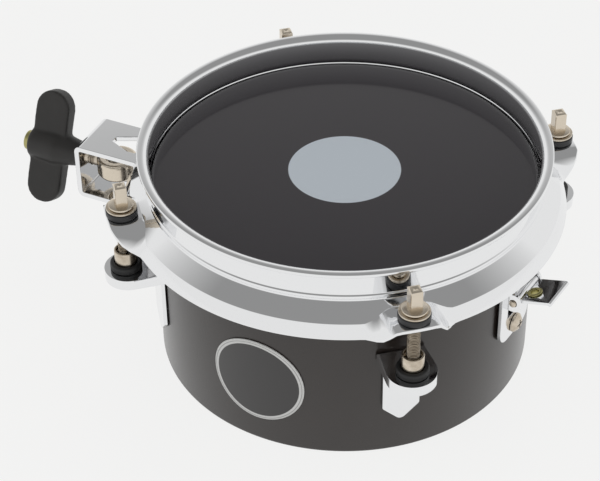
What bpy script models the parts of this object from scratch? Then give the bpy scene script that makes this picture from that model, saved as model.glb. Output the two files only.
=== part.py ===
# Snare timbale, 8 inch: a steel shell with one head, four lugs, a rod clamp and snares inside.
# Metres, +Z up. The origin is the centre of the head's playing face, on the drum's axis.
# +X points to the snare strainer's side, and the lugs stand at 45 degrees to it.

import math

import bmesh
import bpy
from mathutils import Matrix

MM = 0.001

# General fits
SEAT = 0.3 * MM  # gap between pieces that rest on each other
RUN = 0.3 * MM  # radial gap round a shaft or a screw in its hole

# Shell
SHELL_DIAMETER = 203.2 * MM
SHELL_DEPTH = 109.2 * MM  # playing face to bottom edge
SHELL_WALL = 1.5 * MM
BEARING_ROLL = 3.0 * MM  # radius of the rolled top edge
BOTTOM_RETURN = 4.5 * MM  # width of the bottom edge's inward flange
BOTTOM_BEND = 1.8 * MM

# Head
FILM = 0.35 * MM
FLESH_WIDTH = 5.4 * MM
FLESH_HEIGHT = 6.5 * MM

# Rim, a triple-flanged hoop of sheet steel; its sizes are those of its outer side
RIM_SHEET = 2.3 * MM
RIM_PLAY = 0.6 * MM  # between the head's collar and the rim's wall
RIM_HEIGHT = 16.6 * MM  # above the playing face
RIM_LIP = 6.2 * MM  # how far the top lip stands out from the wall's inner side
RIM_WALL_FOOT = 2.5 * MM  # below the playing face, where the wall bends out
RIM_FLARE_REACH = 9.0 * MM
RIM_FLARE_DROP = 7.4 * MM
RIM_SKIRT = 7.9 * MM
RIM_SKIRT_LEAN = math.radians(29.5)  # from straight down
EAR_LEVEL = -4.7 * MM  # the ears' top face
EAR_FLAT = 9.0 * MM  # half width of an ear's flat
EAR_SPREAD = 25.0 * MM  # half width of an ear, where it has run out
EAR_MARGIN = 8.4 * MM  # from a rod's axis to the ear's front edge
EAR_SEAT_MARGIN = 1.5 * MM  # of the ear's flat behind the washers

# Tension rods and what they pass through
LUG_COUNT = 4
LUG_TURN = math.radians(45)
BOLT_CIRCLE = 240.0 * MM  # diameter
ROD_DIAMETER = 7.0 * MM
ROD_LENGTH = 54.0 * MM  # below the flange
ROD_PITCH = 1.0 * MM
KEY_WIDTH = 6.35 * MM
KEY_HEIGHT = 11.5 * MM
KEY_CHAMFER = 1.0 * MM
FLANGE_DIAMETER = 13.4 * MM
FLANGE_THICKNESS = 1.3 * MM
WASHER_DIAMETER = 16.0 * MM
WASHER_THICKNESS = 1.2 * MM
NYLON_DIAMETER = 16.6 * MM
NYLON_THICKNESS = 3.6 * MM
NUT_DIAMETER = 11.6 * MM
NUT_RISE = 12.0 * MM  # above the lug's plate
NUT_MOUTH = 9.4 * MM
NUT_MOUTH_DEPTH = 3.0 * MM
NUT_FLANGE = 15.6 * MM
NUT_FLANGE_THICKNESS = 2.6 * MM
GROMMET_DIAMETER = 16.8 * MM
GROMMET_THICKNESS = 4.2 * MM

# Lug brackets
LUG_LEVEL = -39.6 * MM  # top face of the plate
LUG_SHEET = 2.0 * MM
LUG_WIDTH = 26.0 * MM
LUG_NOSE = 11.6 * MM  # from the rod's axis to the plate's rounded end
LUG_LIP = 6.0 * MM
LEG_WIDTH = 19.7 * MM
LEG_LENGTH = 47.0 * MM  # from the plate's top face to the leg's point
LEG_POINT = 9.6 * MM
STUD_DIAMETER = 5.0 * MM
STUD_DROPS = (17.0 * MM, 33.0 * MM)  # below the plate's top face
LUG_NUT_WIDTH = 8.0 * MM  # across the flats
LUG_NUT_HEIGHT = 4.0 * MM

# Badge
BADGE_DIAMETER = 52.0 * MM
BADGE_THICKNESS = 0.8 * MM
BADGE_TURN = math.radians(-87.3)
BADGE_DROP = 67.0 * MM

# Mounting bracket, a folded box that is open at its two sides
BRACKET_TURN = math.radians(184.8)
BRACKET_SHEET = 3.0 * MM
BRACKET_WIDTH = 31.2 * MM
BRACKET_DROP = 21.4 * MM
BRACKET_HEIGHT = 34.2 * MM
BRACKET_REACH = 57.0 * MM  # out from the shell
BRACKET_CORNER = 4.0 * MM
NOTCH_TIP_SET = 17.4 * MM  # from the bracket's outer end to the rod notch's tip
NOTCH_TIP_WIDTH = 4.2 * MM
NOTCH_LENGTH = 17.4 * MM
NOTCH_WIDTH = 15.0 * MM
BRACKET_SCREW = 6.0 * MM
BRACKET_SCREW_DROPS = (9.6 * MM, 24.6 * MM)  # below the bracket's top face
EYE_DIAMETER = 23.4 * MM
EYE_HOLE = 13.5 * MM
EYE_HEIGHT = 11.0 * MM
EYE_SET = 18.3 * MM  # from the bracket's outer end to the eye's axis
EYE_SHANK = 8.0 * MM
EYE_PITCH = 1.25 * MM
WING_TURN = math.radians(23.3)
WING_HUB = 22.0 * MM
WING_COLLAR = 18.0 * MM
WING_COLLAR_LENGTH = 4.0 * MM
WING_LENGTH = 37.0 * MM
WING_SPAN = 66.0 * MM
WING_WIDTH = 21.4 * MM
WING_THICKNESS = 9.0 * MM
WING_START = 14.4 * MM  # from the bracket's outer end to the wings
INSERT_WALL = 1.4 * MM
INSERT_PROUD = 3.4 * MM

# Strainer
STRAINER_TURN = math.radians(-2.2)
PLATE_SHEET = 2.0 * MM
PLATE_WIDTH = 31.2 * MM
PLATE_TOP = -19.6 * MM
PLATE_HEIGHT = 47.4 * MM
PLATE_CORNER = 8.0 * MM
WINDOW_WIDTH = 16.8 * MM
WINDOW_TOP = 11.6 * MM  # below the plate's top edge
WINDOW_HEIGHT = 21.0 * MM
STRAINER_SCREW = 5.0 * MM
STRAINER_RIVET_DROP = 5.6 * MM  # below the plate's top edge
STRAINER_SCREW_DROP = 40.4 * MM
RIVET_HEAD = 8.6 * MM
RIVET_HEAD_HEIGHT = 1.0 * MM
STRAINER_HEAD = 10.6 * MM
STRAINER_HEAD_HEIGHT = 3.2 * MM
STRAINER_NUT_HEIGHT = 4.0 * MM
CHEEK_SHEET = 1.8 * MM
CHEEK_REACH = 8.1 * MM  # out from the plate's face
CHEEK_HEIGHT = 11.0 * MM
PIN_DIAMETER = 4.0 * MM
PIN_STAND = 4.1 * MM  # from the plate's face to the pin's axis
PIN_LEVEL = -36.9 * MM
LEVER_SHEET = 1.6 * MM
LEVER_WIDTH = 20.6 * MM
LEVER_LENGTH = 20.6 * MM  # along the handle, from the pin's axis
LEVER_LIP = 3.0 * MM
LEVER_BARREL = 7.4 * MM
LEVER_ARM = 13.5 * MM  # from the pin's axis to the nose
LEVER_ARM_WIDTH = 14.0 * MM
LEVER_NOSE = 3.0 * MM
LEVER_TILT = math.radians(18.3)
LEVER_TRAVEL = math.radians(28.0)
EYELET_SET = 0.4 * MM  # between the lever's barrel and the eyelet's edge
EYELET_OFFSET = -2.5 * MM
EYELET_HOLE = 4.2 * MM
EYELET_DIAMETER = 8.0 * MM
EYELET_FLANGE = 0.7 * MM

# Snares, measured with the snares up against the head
WIRE_GAP = 0.45 * MM  # from the wires to the head
WIRE_COUNT = 10
WIRE_DIAMETER = 2.2 * MM
WIRE_PITCH = 2.5 * MM
SOLDER_PLATE = 0.8 * MM
SOLDER_LENGTH = 20.0 * MM
SOLDER_OVERLAP = 12.0 * MM  # of a wire on its plate
CARRIER_SHEET = 2.0 * MM
CARRIER_SPARE = 1.8 * MM  # of the strap beside the outermost wires
CARRIER_END = 2.6 * MM  # from the strap's end to the shell's inner side
CARRIER_FOOT = 8.0 * MM
SNARE_SCREW = 3.0 * MM
SNARE_HEAD = 5.4 * MM
SNARE_HEAD_HEIGHT = 1.6 * MM
BUTT_SET = 9.0 * MM  # from the shell's inner side to the carrier's pin
BUTT_PIN = 3.0 * MM
BUTT_BARREL = 5.2 * MM
BUTT_SHEET = 1.8 * MM
BUTT_HEIGHT = 60.0 * MM
BUTT_SHOULDER = 4.0 * MM  # the ears' slope under the shell's rolled edge
BUTT_SCREW = 5.0 * MM
BUTT_SCREW_LEVEL = -62.0 * MM
BUTT_HEAD = 9.0 * MM
BUTT_HEAD_HEIGHT = 2.8 * MM
BUTT_NUT_HEIGHT = 4.0 * MM

# Facets
ROUND = 60  # round the drum
ROUND_RIM = 96
SMALL = 16
TINY = 12

# Sizes that follow
shell_radius = SHELL_DIAMETER / 2
shell_inner = shell_radius - SHELL_WALL
shell_top = -FILM - SEAT
shell_bottom = -SHELL_DEPTH
film_radius = shell_radius + SEAT + FILM
flesh_inner = film_radius + SEAT
rim_inner = film_radius + RIM_PLAY
rim_outer = rim_inner + RIM_SHEET
fold_radius = rim_outer + RIM_FLARE_REACH
bolt_radius = BOLT_CIRCLE / 2
ear_fold = bolt_radius - NYLON_DIAMETER / 2 - EAR_SEAT_MARGIN
rod_hole = ROD_DIAMETER + 2 * RUN
nylon_bottom = EAR_LEVEL + SEAT
washer_bottom = nylon_bottom + NYLON_THICKNESS + SEAT
flange_bottom = washer_bottom + WASHER_THICKNESS + SEAT
key_bottom = flange_bottom + FLANGE_THICKNESS
leg_inner = shell_radius + SEAT
bracket_outer = shell_radius + BRACKET_REACH
bracket_inner = shell_radius + SEAT
bracket_level = -BRACKET_DROP - BRACKET_HEIGHT / 2
wing_seat = bracket_outer + SEAT
insert_hole = EYE_SHANK + 2 * RUN
insert_diameter = insert_hole + 2 * INSERT_WALL
insert_end = wing_seat + WING_LENGTH + INSERT_PROUD
plate_inner = shell_radius + SEAT
plate_outer = plate_inner + PLATE_SHEET
plate_bottom = PLATE_TOP - PLATE_HEIGHT
window_level = PLATE_TOP - WINDOW_TOP - WINDOW_HEIGHT / 2
pin_radius = plate_outer + PIN_STAND
cheek_inner = LEVER_WIDTH / 2 + SEAT
pin_length = 2 * (cheek_inner + CHEEK_SHEET) + 2 * MM
wire_top = -FILM - WIRE_GAP
wire_level = wire_top - WIRE_DIAMETER / 2
solder_top = wire_top - WIRE_DIAMETER + SOLDER_PLATE / 2
carrier_top = solder_top - SOLDER_PLATE - SEAT
carrier_width = (WIRE_COUNT - 1) * WIRE_PITCH + WIRE_DIAMETER + 2 * CARRIER_SPARE
butt_radius = shell_inner - BUTT_SET
butt_level = carrier_top - CARRIER_SHEET / 2
carrier_end = shell_inner - CARRIER_END
nose_lift = LEVER_ARM * (math.sin(LEVER_TILT) + math.sin(LEVER_TRAVEL - LEVER_TILT))
nose_top = PIN_LEVEL + LEVER_ARM * math.sin(LEVER_TRAVEL - LEVER_TILT) + LEVER_NOSE / 2
foot_bottom = nose_top + SEAT
nose_reach = butt_radius + pin_radius - LEVER_ARM * math.cos(LEVER_TILT)
carrier_travel = math.asin(nose_lift / nose_reach)


def clear_scene():
    for obj in list(bpy.data.objects):
        bpy.data.objects.remove(obj)


def make_material(name, color, roughness, metallic):
    material = bpy.data.materials.new(name)
    material.use_nodes = True
    shader = material.node_tree.nodes["Principled BSDF"]
    shader.inputs["Base Color"].default_value = (*color, 1)
    shader.inputs["Roughness"].default_value = roughness
    shader.inputs["Metallic"].default_value = metallic
    return material


def make_frame(name, turn=0.0, parent=None, place=(0, 0, 0)):
    frame = bpy.data.objects.new(name, None)
    bpy.context.scene.collection.objects.link(frame)
    frame.parent = parent
    frame.location = place
    frame.rotation_euler = (0, 0, turn)
    return frame


def put(name, bm, material=None, parent=None, place=(0, 0, 0), turn=(0, 0, 0)):
    """Turns a bmesh into an object; without a material it is a hidden cutter."""
    bmesh.ops.recalc_face_normals(bm, faces=bm.faces)
    mesh = bpy.data.meshes.new(name)
    bm.to_mesh(mesh)
    bm.free()
    mesh.shade_smooth()
    mesh.set_sharp_from_angle(angle=math.radians(35))
    obj = bpy.data.objects.new(name, mesh)
    bpy.context.scene.collection.objects.link(obj)
    obj.parent = parent
    obj.location = place
    obj.rotation_euler = turn
    if material:
        mesh.materials.append(material)
    else:
        obj.hide_render = True
        obj.display_type = "WIRE"
    return obj


def copy_of(obj, name, parent):
    twin = bpy.data.objects.new(name, obj.data)
    bpy.context.scene.collection.objects.link(twin)
    twin.parent = parent
    twin.location = obj.location
    twin.rotation_euler = obj.rotation_euler
    for old in obj.modifiers:
        new = twin.modifiers.new(old.name, old.type)
        new.operation = old.operation
        new.object = old.object
    return twin


def combine(obj, other, operation):
    modifier = obj.modifiers.new(operation.lower(), "BOOLEAN")
    modifier.operation = operation
    modifier.object = other


def cut(obj, other):
    combine(obj, other, "DIFFERENCE")


def join(obj, other):
    combine(obj, other, "UNION")


def rounded(points, radii, steps=3, closed=True):
    """Replaces each corner that has a radius with an arc."""
    out = []
    count = len(points)
    for i, (corner, radius) in enumerate(zip(points, radii)):
        if radius <= 0 or (not closed and i in (0, count - 1)):
            out.append(corner)
            continue
        before, after = points[i - 1], points[(i + 1) % count]
        ax, ay = before[0] - corner[0], before[1] - corner[1]
        bx, by = after[0] - corner[0], after[1] - corner[1]
        la, lb = math.hypot(ax, ay), math.hypot(bx, by)
        ax, ay, bx, by = ax / la, ay / la, bx / lb, by / lb
        half = math.acos(max(-1.0, min(1.0, ax * bx + ay * by))) / 2
        reach = min(radius / math.tan(half), 0.49 * la, 0.49 * lb)
        true_radius = reach * math.tan(half)
        middle = math.hypot(ax + bx, ay + by)
        to_centre = true_radius / math.sin(half)
        cx = corner[0] + (ax + bx) / middle * to_centre
        cy = corner[1] + (ay + by) / middle * to_centre
        start = math.atan2(corner[1] + ay * reach - cy, corner[0] + ax * reach - cx)
        end = math.atan2(corner[1] + by * reach - cy, corner[0] + bx * reach - cx)
        sweep = (end - start + math.pi) % (2 * math.pi) - math.pi
        for k in range(steps + 1):
            angle = start + sweep * k / steps
            out.append((cx + true_radius * math.cos(angle), cy + true_radius * math.sin(angle)))
    return out


def offset(path, distance):
    """Moves an open path sideways, to the right of its direction."""
    normals = []
    for (x0, y0), (x1, y1) in zip(path, path[1:]):
        length = math.hypot(x1 - x0, y1 - y0)
        normals.append(((y1 - y0) / length, (x0 - x1) / length))
    out = []
    for i, (x, y) in enumerate(path):
        nx0, ny0 = normals[max(i - 1, 0)]
        nx1, ny1 = normals[min(i, len(normals) - 1)]
        nx, ny = nx0 + nx1, ny0 + ny1
        scale = 2 * distance / (nx * nx + ny * ny)
        out.append((x + nx * scale, y + ny * scale))
    return out


def sheet(path, thickness):
    """The closed section of a bent sheet whose outer side is the path."""
    return path + offset(path, thickness)[::-1]


def ring_mesh(sections):
    """Bridges closed sections, given as lists of (x, y, z), into a ring."""
    bm = bmesh.new()
    rings = [[bm.verts.new(point) for point in section] for section in sections]
    for ring, following in zip(rings, rings[1:] + rings[:1]):
        for i in range(len(ring)):
            j = (i + 1) % len(ring)
            bm.faces.new((ring[i], ring[j], following[j], following[i]))
    return bm


def turned(profile, steps):
    """Turns a closed (radius, z) profile about Z; points on the axis become one pole."""
    bm = bmesh.new()
    rings = []
    for radius, z in profile:
        if radius < 1e-7:
            rings.append([bm.verts.new((0, 0, z))])
            continue
        angles = [2 * math.pi * k / steps for k in range(steps)]
        rings.append([bm.verts.new((radius * math.cos(a), radius * math.sin(a), z)) for a in angles])
    for ring, following in zip(rings, rings[1:] + rings[:1]):
        if len(ring) == 1 and len(following) == 1:
            continue
        for k in range(steps):
            m = (k + 1) % steps
            corners = [ring[k % len(ring)], ring[m % len(ring)]]
            corners += [following[m % len(following)], following[k % len(following)]]
            bm.faces.new(list(dict.fromkeys(corners)))
    return bm


def prism(outline, low, high, axis="Z"):
    """A prism of the outline between two heights along an axis.

    The outline's two numbers are (x, y) for Z, (y, z) for X and (x, z) for Y.
    """
    places = {
        "Z": lambda a, b, h: (a, b, h),
        "X": lambda a, b, h: (h, a, b),
        "Y": lambda a, b, h: (a, h, b),
    }
    place = places[axis]
    bm = bmesh.new()
    floor = [bm.verts.new(place(a, b, low)) for a, b in outline]
    roof = [bm.verts.new(place(a, b, high)) for a, b in outline]
    bm.faces.new(floor)
    bm.faces.new(roof[::-1])
    for i in range(len(outline)):
        j = (i + 1) % len(outline)
        bm.faces.new((floor[i], roof[i], roof[j], floor[j]))
    return bm


def box(low, high):
    x0, y0, z0 = low
    x1, y1, z1 = high
    return prism([(x0, y0), (x1, y0), (x1, y1), (x0, y1)], z0, z1)


def circle(radius, steps, centre=(0, 0), start=0.0):
    angles = [start + 2 * math.pi * k / steps for k in range(steps)]
    return [(centre[0] + radius * math.cos(a), centre[1] + radius * math.sin(a)) for a in angles]


def rod_along(axis, radius, low, high, centre=(0, 0), steps=TINY):
    return prism(circle(radius, steps, centre), low, high, axis)


def washer(outer, hole, low, high, steps=SMALL, edge=0.0):
    """A flat ring with chamfered outer corners."""
    profile = [(hole / 2, low), (outer / 2 - edge, low)]
    if edge:
        profile.append((outer / 2, low + edge))
        profile.append((outer / 2, high - edge))
    profile += [(outer / 2 - edge, high), (hole / 2, high)]
    return turned(profile, steps)


def screw_mesh(diameter, length, head, head_height):
    """A pan head screw along +Z, its head's underside at z = 0 and its shank below."""
    crown = 0.25 * head_height
    profile = [
        (0, head_height),
        (head / 2 - 2 * crown, head_height),
        (head / 2, head_height - 1.6 * crown),
        (head / 2, 0),
        (diameter / 2, 0),
        (diameter / 2, -length),
        (0, -length),
    ]
    return turned(profile, TINY)


def rivet_mesh(diameter, grip, head, head_height):
    """A flat rivet along +Z, its outer head's underside at z = 0."""
    profile = [
        (0, head_height),
        (head / 2 - 0.4 * MM, head_height),
        (head / 2, 0),
        (diameter / 2, 0),
        (diameter / 2, -grip),
        (head / 2, -grip),
        (head / 2 - 0.4 * MM, -grip - head_height),
        (0, -grip - head_height),
    ]
    return turned(profile, TINY)


def nut_mesh(width, hole, height):
    """A hex nut standing on z = 0."""
    bm = bmesh.new()
    steps = 6
    outer = circle(width / math.sqrt(3), steps)
    inner = circle(hole / 2, steps)
    rings = []
    for outline, z in ((inner, 0), (outer, 0), (outer, height), (inner, height)):
        rings.append([bm.verts.new((x, y, z)) for x, y in outline])
    for ring, following in zip(rings, rings[1:] + rings[:1]):
        for k in range(steps):
            m = (k + 1) % steps
            bm.faces.new((ring[k], ring[m], following[m], following[k]))
    return bm


def smoothstep(t):
    t = max(0.0, min(1.0, t))
    return t * t * (3 - 2 * t)


def flare_underside(radius):
    """Height of the underside of the rim's flare, away from the ears."""
    slope = RIM_FLARE_DROP / RIM_FLARE_REACH
    return -RIM_WALL_FOOT - slope * (radius - rim_outer) - RIM_SHEET * math.hypot(1, slope)


def make_shell(paint, lug_frames, bracket_frame, strainer_frame):
    path = rounded(
        [
            (shell_radius - BEARING_ROLL, shell_top),
            (shell_radius, shell_top),
            (shell_radius, shell_bottom),
            (shell_radius - BOTTOM_RETURN, shell_bottom),
        ],
        [0, BEARING_ROLL * 0.999, BOTTOM_BEND, 0],
        steps=2,
        closed=False,
    )
    shell = put("shell", turned(sheet(path, SHELL_WALL), ROUND), paint)
    inside, outside = shell_inner - 6 * MM, shell_radius + 4 * MM
    for number, frame in enumerate(lug_frames, 1):
        for drop in STUD_DROPS:
            hole = rod_along("X", STUD_DIAMETER / 2 + RUN, inside, outside, (0, LUG_LEVEL - drop))
            cut(shell, put(f"lug_hole_{number}_{drop:.3f}", hole, parent=frame))
    for drop in BRACKET_SCREW_DROPS:
        hole = rod_along("X", BRACKET_SCREW / 2 + RUN, inside, outside, (0, -BRACKET_DROP - drop))
        cut(shell, put(f"bracket_hole_{drop:.3f}", hole, parent=bracket_frame))
    for drop in (STRAINER_RIVET_DROP, STRAINER_SCREW_DROP):
        hole = rod_along("X", STRAINER_SCREW / 2 + RUN, inside, outside, (0, PLATE_TOP - drop))
        cut(shell, put(f"strainer_hole_{drop:.3f}", hole, parent=strainer_frame))
    hole = rod_along("X", BUTT_SCREW / 2 + RUN, -outside, -inside, (0, BUTT_SCREW_LEVEL))
    cut(shell, put("butt_hole", hole, parent=strainer_frame))
    low, high = window_level - WINDOW_HEIGHT / 2, window_level + WINDOW_HEIGHT / 2
    slot = box((inside, -WINDOW_WIDTH / 2, low), (outside, WINDOW_WIDTH / 2, high))
    cut(shell, put("shell_slot", slot, parent=strainer_frame))


def make_head(film, aluminium):
    flesh_top = flare_underside(flesh_inner + FLESH_WIDTH) - SEAT
    flesh_bottom = flesh_top - FLESH_HEIGHT
    roll = BEARING_ROLL + SEAT + FILM
    path = rounded(
        [(shell_radius - BEARING_ROLL, 0), (film_radius, 0), (film_radius, flesh_bottom)],
        [0, roll * 0.999, 0],
        closed=False,
    )
    skin = sheet(path, FILM)
    profile = [(0, 0)] + skin + [(0, -FILM)]
    put("head_film", turned(profile, ROUND), film)
    corner = 0.8 * MM
    outer = flesh_inner + FLESH_WIDTH
    section = [
        (flesh_inner, flesh_top),
        (outer - corner, flesh_top),
        (outer, flesh_top - corner),
        (outer, flesh_bottom),
        (flesh_inner, flesh_bottom),
    ]
    put("flesh_hoop", turned(section, ROUND), aluminium)


def rim_section(ear):
    """The rim's section, from plain (ear = 0) to the middle of an ear (ear = 1)."""
    drop = RIM_FLARE_DROP + ear * (-EAR_LEVEL - RIM_WALL_FOOT - RIM_FLARE_DROP)
    lean = (math.pi / 2 - RIM_SKIRT_LEAN) * (1 - ear)
    reach = bolt_radius + EAR_MARGIN - ear_fold
    length = RIM_SKIRT + ear * (reach - RIM_SKIRT)
    fold = (fold_radius + ear * (ear_fold - fold_radius), -RIM_WALL_FOOT - drop)
    corners = [
        (rim_inner + RIM_LIP, RIM_HEIGHT - RIM_SHEET),
        (rim_outer, RIM_HEIGHT - RIM_SHEET),
        (rim_outer, -RIM_WALL_FOOT),
        fold,
        (fold[0] + length * math.cos(lean), fold[1] - length * math.sin(lean)),
    ]
    radii = [0, 1.6 * MM, 2.4 * MM, 3.2 * MM, 0]
    return sheet(rounded(corners, radii, steps=1, closed=False), RIM_SHEET)


def make_rim(chrome, lug_frames):
    sections = []
    for k in range(ROUND_RIM):
        angle = 2 * math.pi * k / ROUND_RIM
        spacing = 2 * math.pi / LUG_COUNT
        away = abs((angle - LUG_TURN + spacing / 2) % spacing - spacing / 2) * bolt_radius
        ear = 1 - smoothstep((away - EAR_FLAT) / (EAR_SPREAD - EAR_FLAT))
        section = rim_section(ear)
        sections.append([(r * math.cos(angle), r * math.sin(angle), z) for r, z in section])
    rim = put("rim", ring_mesh(sections), chrome)
    for number, frame in enumerate(lug_frames, 1):
        depth = RIM_SHEET + 4 * MM
        hole = rod_along("Z", rod_hole / 2, EAR_LEVEL - depth, EAR_LEVEL + 2 * MM, (bolt_radius, 0))
        cut(rim, put(f"ear_hole_{number}", hole, parent=frame))


def tension_rod_mesh():
    """The rod's turned part, its own origin at the playing face's level."""
    flange, shank = FLANGE_DIAMETER / 2, ROD_DIAMETER / 2
    lead = 1.0 * MM
    profile = [
        (0, key_bottom),
        (flange - 0.3 * MM, key_bottom),
        (flange, key_bottom - 0.4 * MM),
        (flange, flange_bottom),
        (shank, flange_bottom),
        (shank, flange_bottom - ROD_LENGTH + lead),
        (shank - lead, flange_bottom - ROD_LENGTH),
        (0, flange_bottom - ROD_LENGTH),
    ]
    return turned(profile, TINY)


def key_head_mesh():
    half = KEY_WIDTH / 2
    bm = box((-half, -half, key_bottom - 0.5 * MM), (half, half, key_bottom + KEY_HEIGHT))
    top = [edge for edge in bm.edges if all(v.co.z > key_bottom for v in edge.verts)]
    bmesh.ops.bevel(bm, geom=top, offset=KEY_CHAMFER, segments=2, affect="EDGES", profile=0.5)
    return bm


def sleeve_nut_mesh():
    body, bore, mouth = NUT_DIAMETER / 2, rod_hole / 2, NUT_MOUTH / 2
    top = LUG_LEVEL + NUT_RISE
    under = LUG_LEVEL - LUG_SHEET - SEAT
    profile = [
        (mouth, top),
        (body - 0.3 * MM, top),
        (body, top - 0.4 * MM),
        (body, under),
        (NUT_FLANGE / 2, under),
        (NUT_FLANGE / 2, under - NUT_FLANGE_THICKNESS),
        (bore, under - NUT_FLANGE_THICKNESS),
        (bore, top - NUT_MOUTH_DEPTH),
        (mouth, top - NUT_MOUTH_DEPTH + (mouth - bore)),
    ]
    return turned(profile, SMALL)


def grommet_mesh():
    outer, hole = GROMMET_DIAMETER / 2, NUT_DIAMETER / 2 + RUN
    low = LUG_LEVEL + SEAT
    high = low + GROMMET_THICKNESS - SEAT
    soft = 1.2 * MM
    profile = [
        (hole, high),
        (outer - soft, high),
        (outer, high - soft),
        (outer, low),
        (hole, low),
    ]
    return turned(profile, SMALL)


def nose_outline(inset, back):
    """The lug plate's outline seen from above, square at the shell and round in front."""
    half = LUG_WIDTH / 2 - inset
    centre = bolt_radius + LUG_NOSE - LUG_WIDTH / 2
    steps = 10
    angles = [-math.pi / 2 + math.pi * k / steps for k in range(steps + 1)]
    arc = [(centre + half * math.cos(a), half * math.sin(a)) for a in angles]
    return [(back, half)] + [(back, -half)] + arc


def make_lug_bracket(number, chrome, frame):
    back, face = leg_inner, leg_inner + LUG_SHEET
    tray = prism(nose_outline(0, back), LUG_LEVEL - LUG_LIP, LUG_LEVEL)
    rim_edges = [e for e in tray.edges if all(v.co.z > LUG_LEVEL - 1e-6 for v in e.verts)]
    bmesh.ops.bevel(tray, geom=rim_edges, offset=1.4 * MM, segments=2, affect="EDGES", profile=0.5)
    bracket = put(f"lug_bracket_{number}", tray, chrome, frame)
    hollow = prism(nose_outline(LUG_SHEET, face), LUG_LEVEL - LUG_LIP - 1 * MM, LUG_LEVEL - LUG_SHEET)
    cut(bracket, put(f"lug_hollow_{number}", hollow, parent=frame))
    half, tip = LEG_WIDTH / 2, LUG_LEVEL - LEG_LENGTH
    root = LUG_LEVEL - LUG_SHEET / 2
    leg_outline = [(half, root), (-half, root), (-half, tip + LEG_POINT), (0, tip), (half, tip + LEG_POINT)]
    leg_outline = rounded(leg_outline, [0, 0, 2 * MM, 3 * MM, 2 * MM])
    join(bracket, put(f"lug_leg_{number}", prism(leg_outline, back, face, "X"), parent=frame))
    hole = rod_along("Z", NUT_DIAMETER / 2 + RUN, LUG_LEVEL - 4 * MM, LUG_LEVEL + 2 * MM, (bolt_radius, 0), SMALL)
    cut(bracket, put(f"lug_hole_{number}", hole, parent=frame))
    inner_end = shell_inner - SEAT - LUG_NUT_HEIGHT - 1.5 * MM
    for index, drop in enumerate(STUD_DROPS, 1):
        stud = rod_along("X", STUD_DIAMETER / 2, inner_end, back + LUG_SHEET / 2, (0, LUG_LEVEL - drop))
        join(bracket, put(f"stud_{number}_{index}", stud, parent=frame))


def seat_inside(width):
    """Where a flat nut of this width rests inside the round wall."""
    return math.sqrt(shell_inner**2 - (width / 2) ** 2) - SEAT


def make_lug(number, frame, materials):
    axis_point = (bolt_radius, 0, 0)
    rod = put(f"tension_rod_{number}", tension_rod_mesh(), materials["nickel"], frame, axis_point)
    key = put(f"key_head_{number}", key_head_mesh(), None, frame, axis_point)
    join(rod, key)
    steel = washer(WASHER_DIAMETER, rod_hole, washer_bottom, washer_bottom + WASHER_THICKNESS)
    put(f"steel_washer_{number}", steel, materials["nickel"], frame, axis_point)
    nylon_top = nylon_bottom + NYLON_THICKNESS
    nylon = washer(NYLON_DIAMETER, rod_hole, nylon_bottom, nylon_top, edge=0.5 * MM)
    put(f"nylon_washer_{number}", nylon, materials["nylon"], frame, axis_point)
    put(f"sleeve_nut_{number}", sleeve_nut_mesh(), materials["nickel"], frame, axis_point)
    put(f"grommet_{number}", grommet_mesh(), materials["rubber"], frame, axis_point)
    make_lug_bracket(number, materials["chrome"], frame)
    nut_seat = seat_inside(LUG_NUT_WIDTH * 2 / math.sqrt(3))
    for index, drop in enumerate(STUD_DROPS, 1):
        nut = nut_mesh(LUG_NUT_WIDTH, STUD_DIAMETER + 2 * RUN / math.cos(math.pi / 6) + 0.9 * MM, LUG_NUT_HEIGHT)
        place = (nut_seat, 0, LUG_LEVEL - drop)
        put(f"lug_nut_{number}_{index}", nut, materials["steel"], frame, place, (0, -math.pi / 2, 0))


def make_badge(materials):
    """A round disc wrapped on the shell."""
    rings = (0.34, 0.68, 1.0)
    steps = 32
    bm = bmesh.new()
    layers = []
    for radius in (shell_radius + SEAT, shell_radius + SEAT + BADGE_THICKNESS):
        def on_wall(share, angle):
            sideways = share * BADGE_DIAMETER / 2 * math.cos(angle) / shell_radius
            height = share * BADGE_DIAMETER / 2 * math.sin(angle) - BADGE_DROP
            return (radius * math.cos(sideways), radius * math.sin(sideways), height)

        middle = bm.verts.new(on_wall(0, 0))
        turns = [2 * math.pi * k / steps for k in range(steps)]
        layers.append((middle, [[bm.verts.new(on_wall(share, a)) for a in turns] for share in rings]))
    for middle, loops in layers:
        for k in range(steps):
            m = (k + 1) % steps
            bm.faces.new((middle, loops[0][k], loops[0][m]))
            for inner, outer in zip(loops, loops[1:]):
                bm.faces.new((inner[k], outer[k], outer[m], inner[m]))
    for k in range(steps):
        m = (k + 1) % steps
        low, high = layers[0][1][-1], layers[1][1][-1]
        bm.faces.new((low[k], low[m], high[m], high[k]))
    put("badge", bm, materials["badge"], make_frame("badge_frame", BADGE_TURN))


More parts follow.
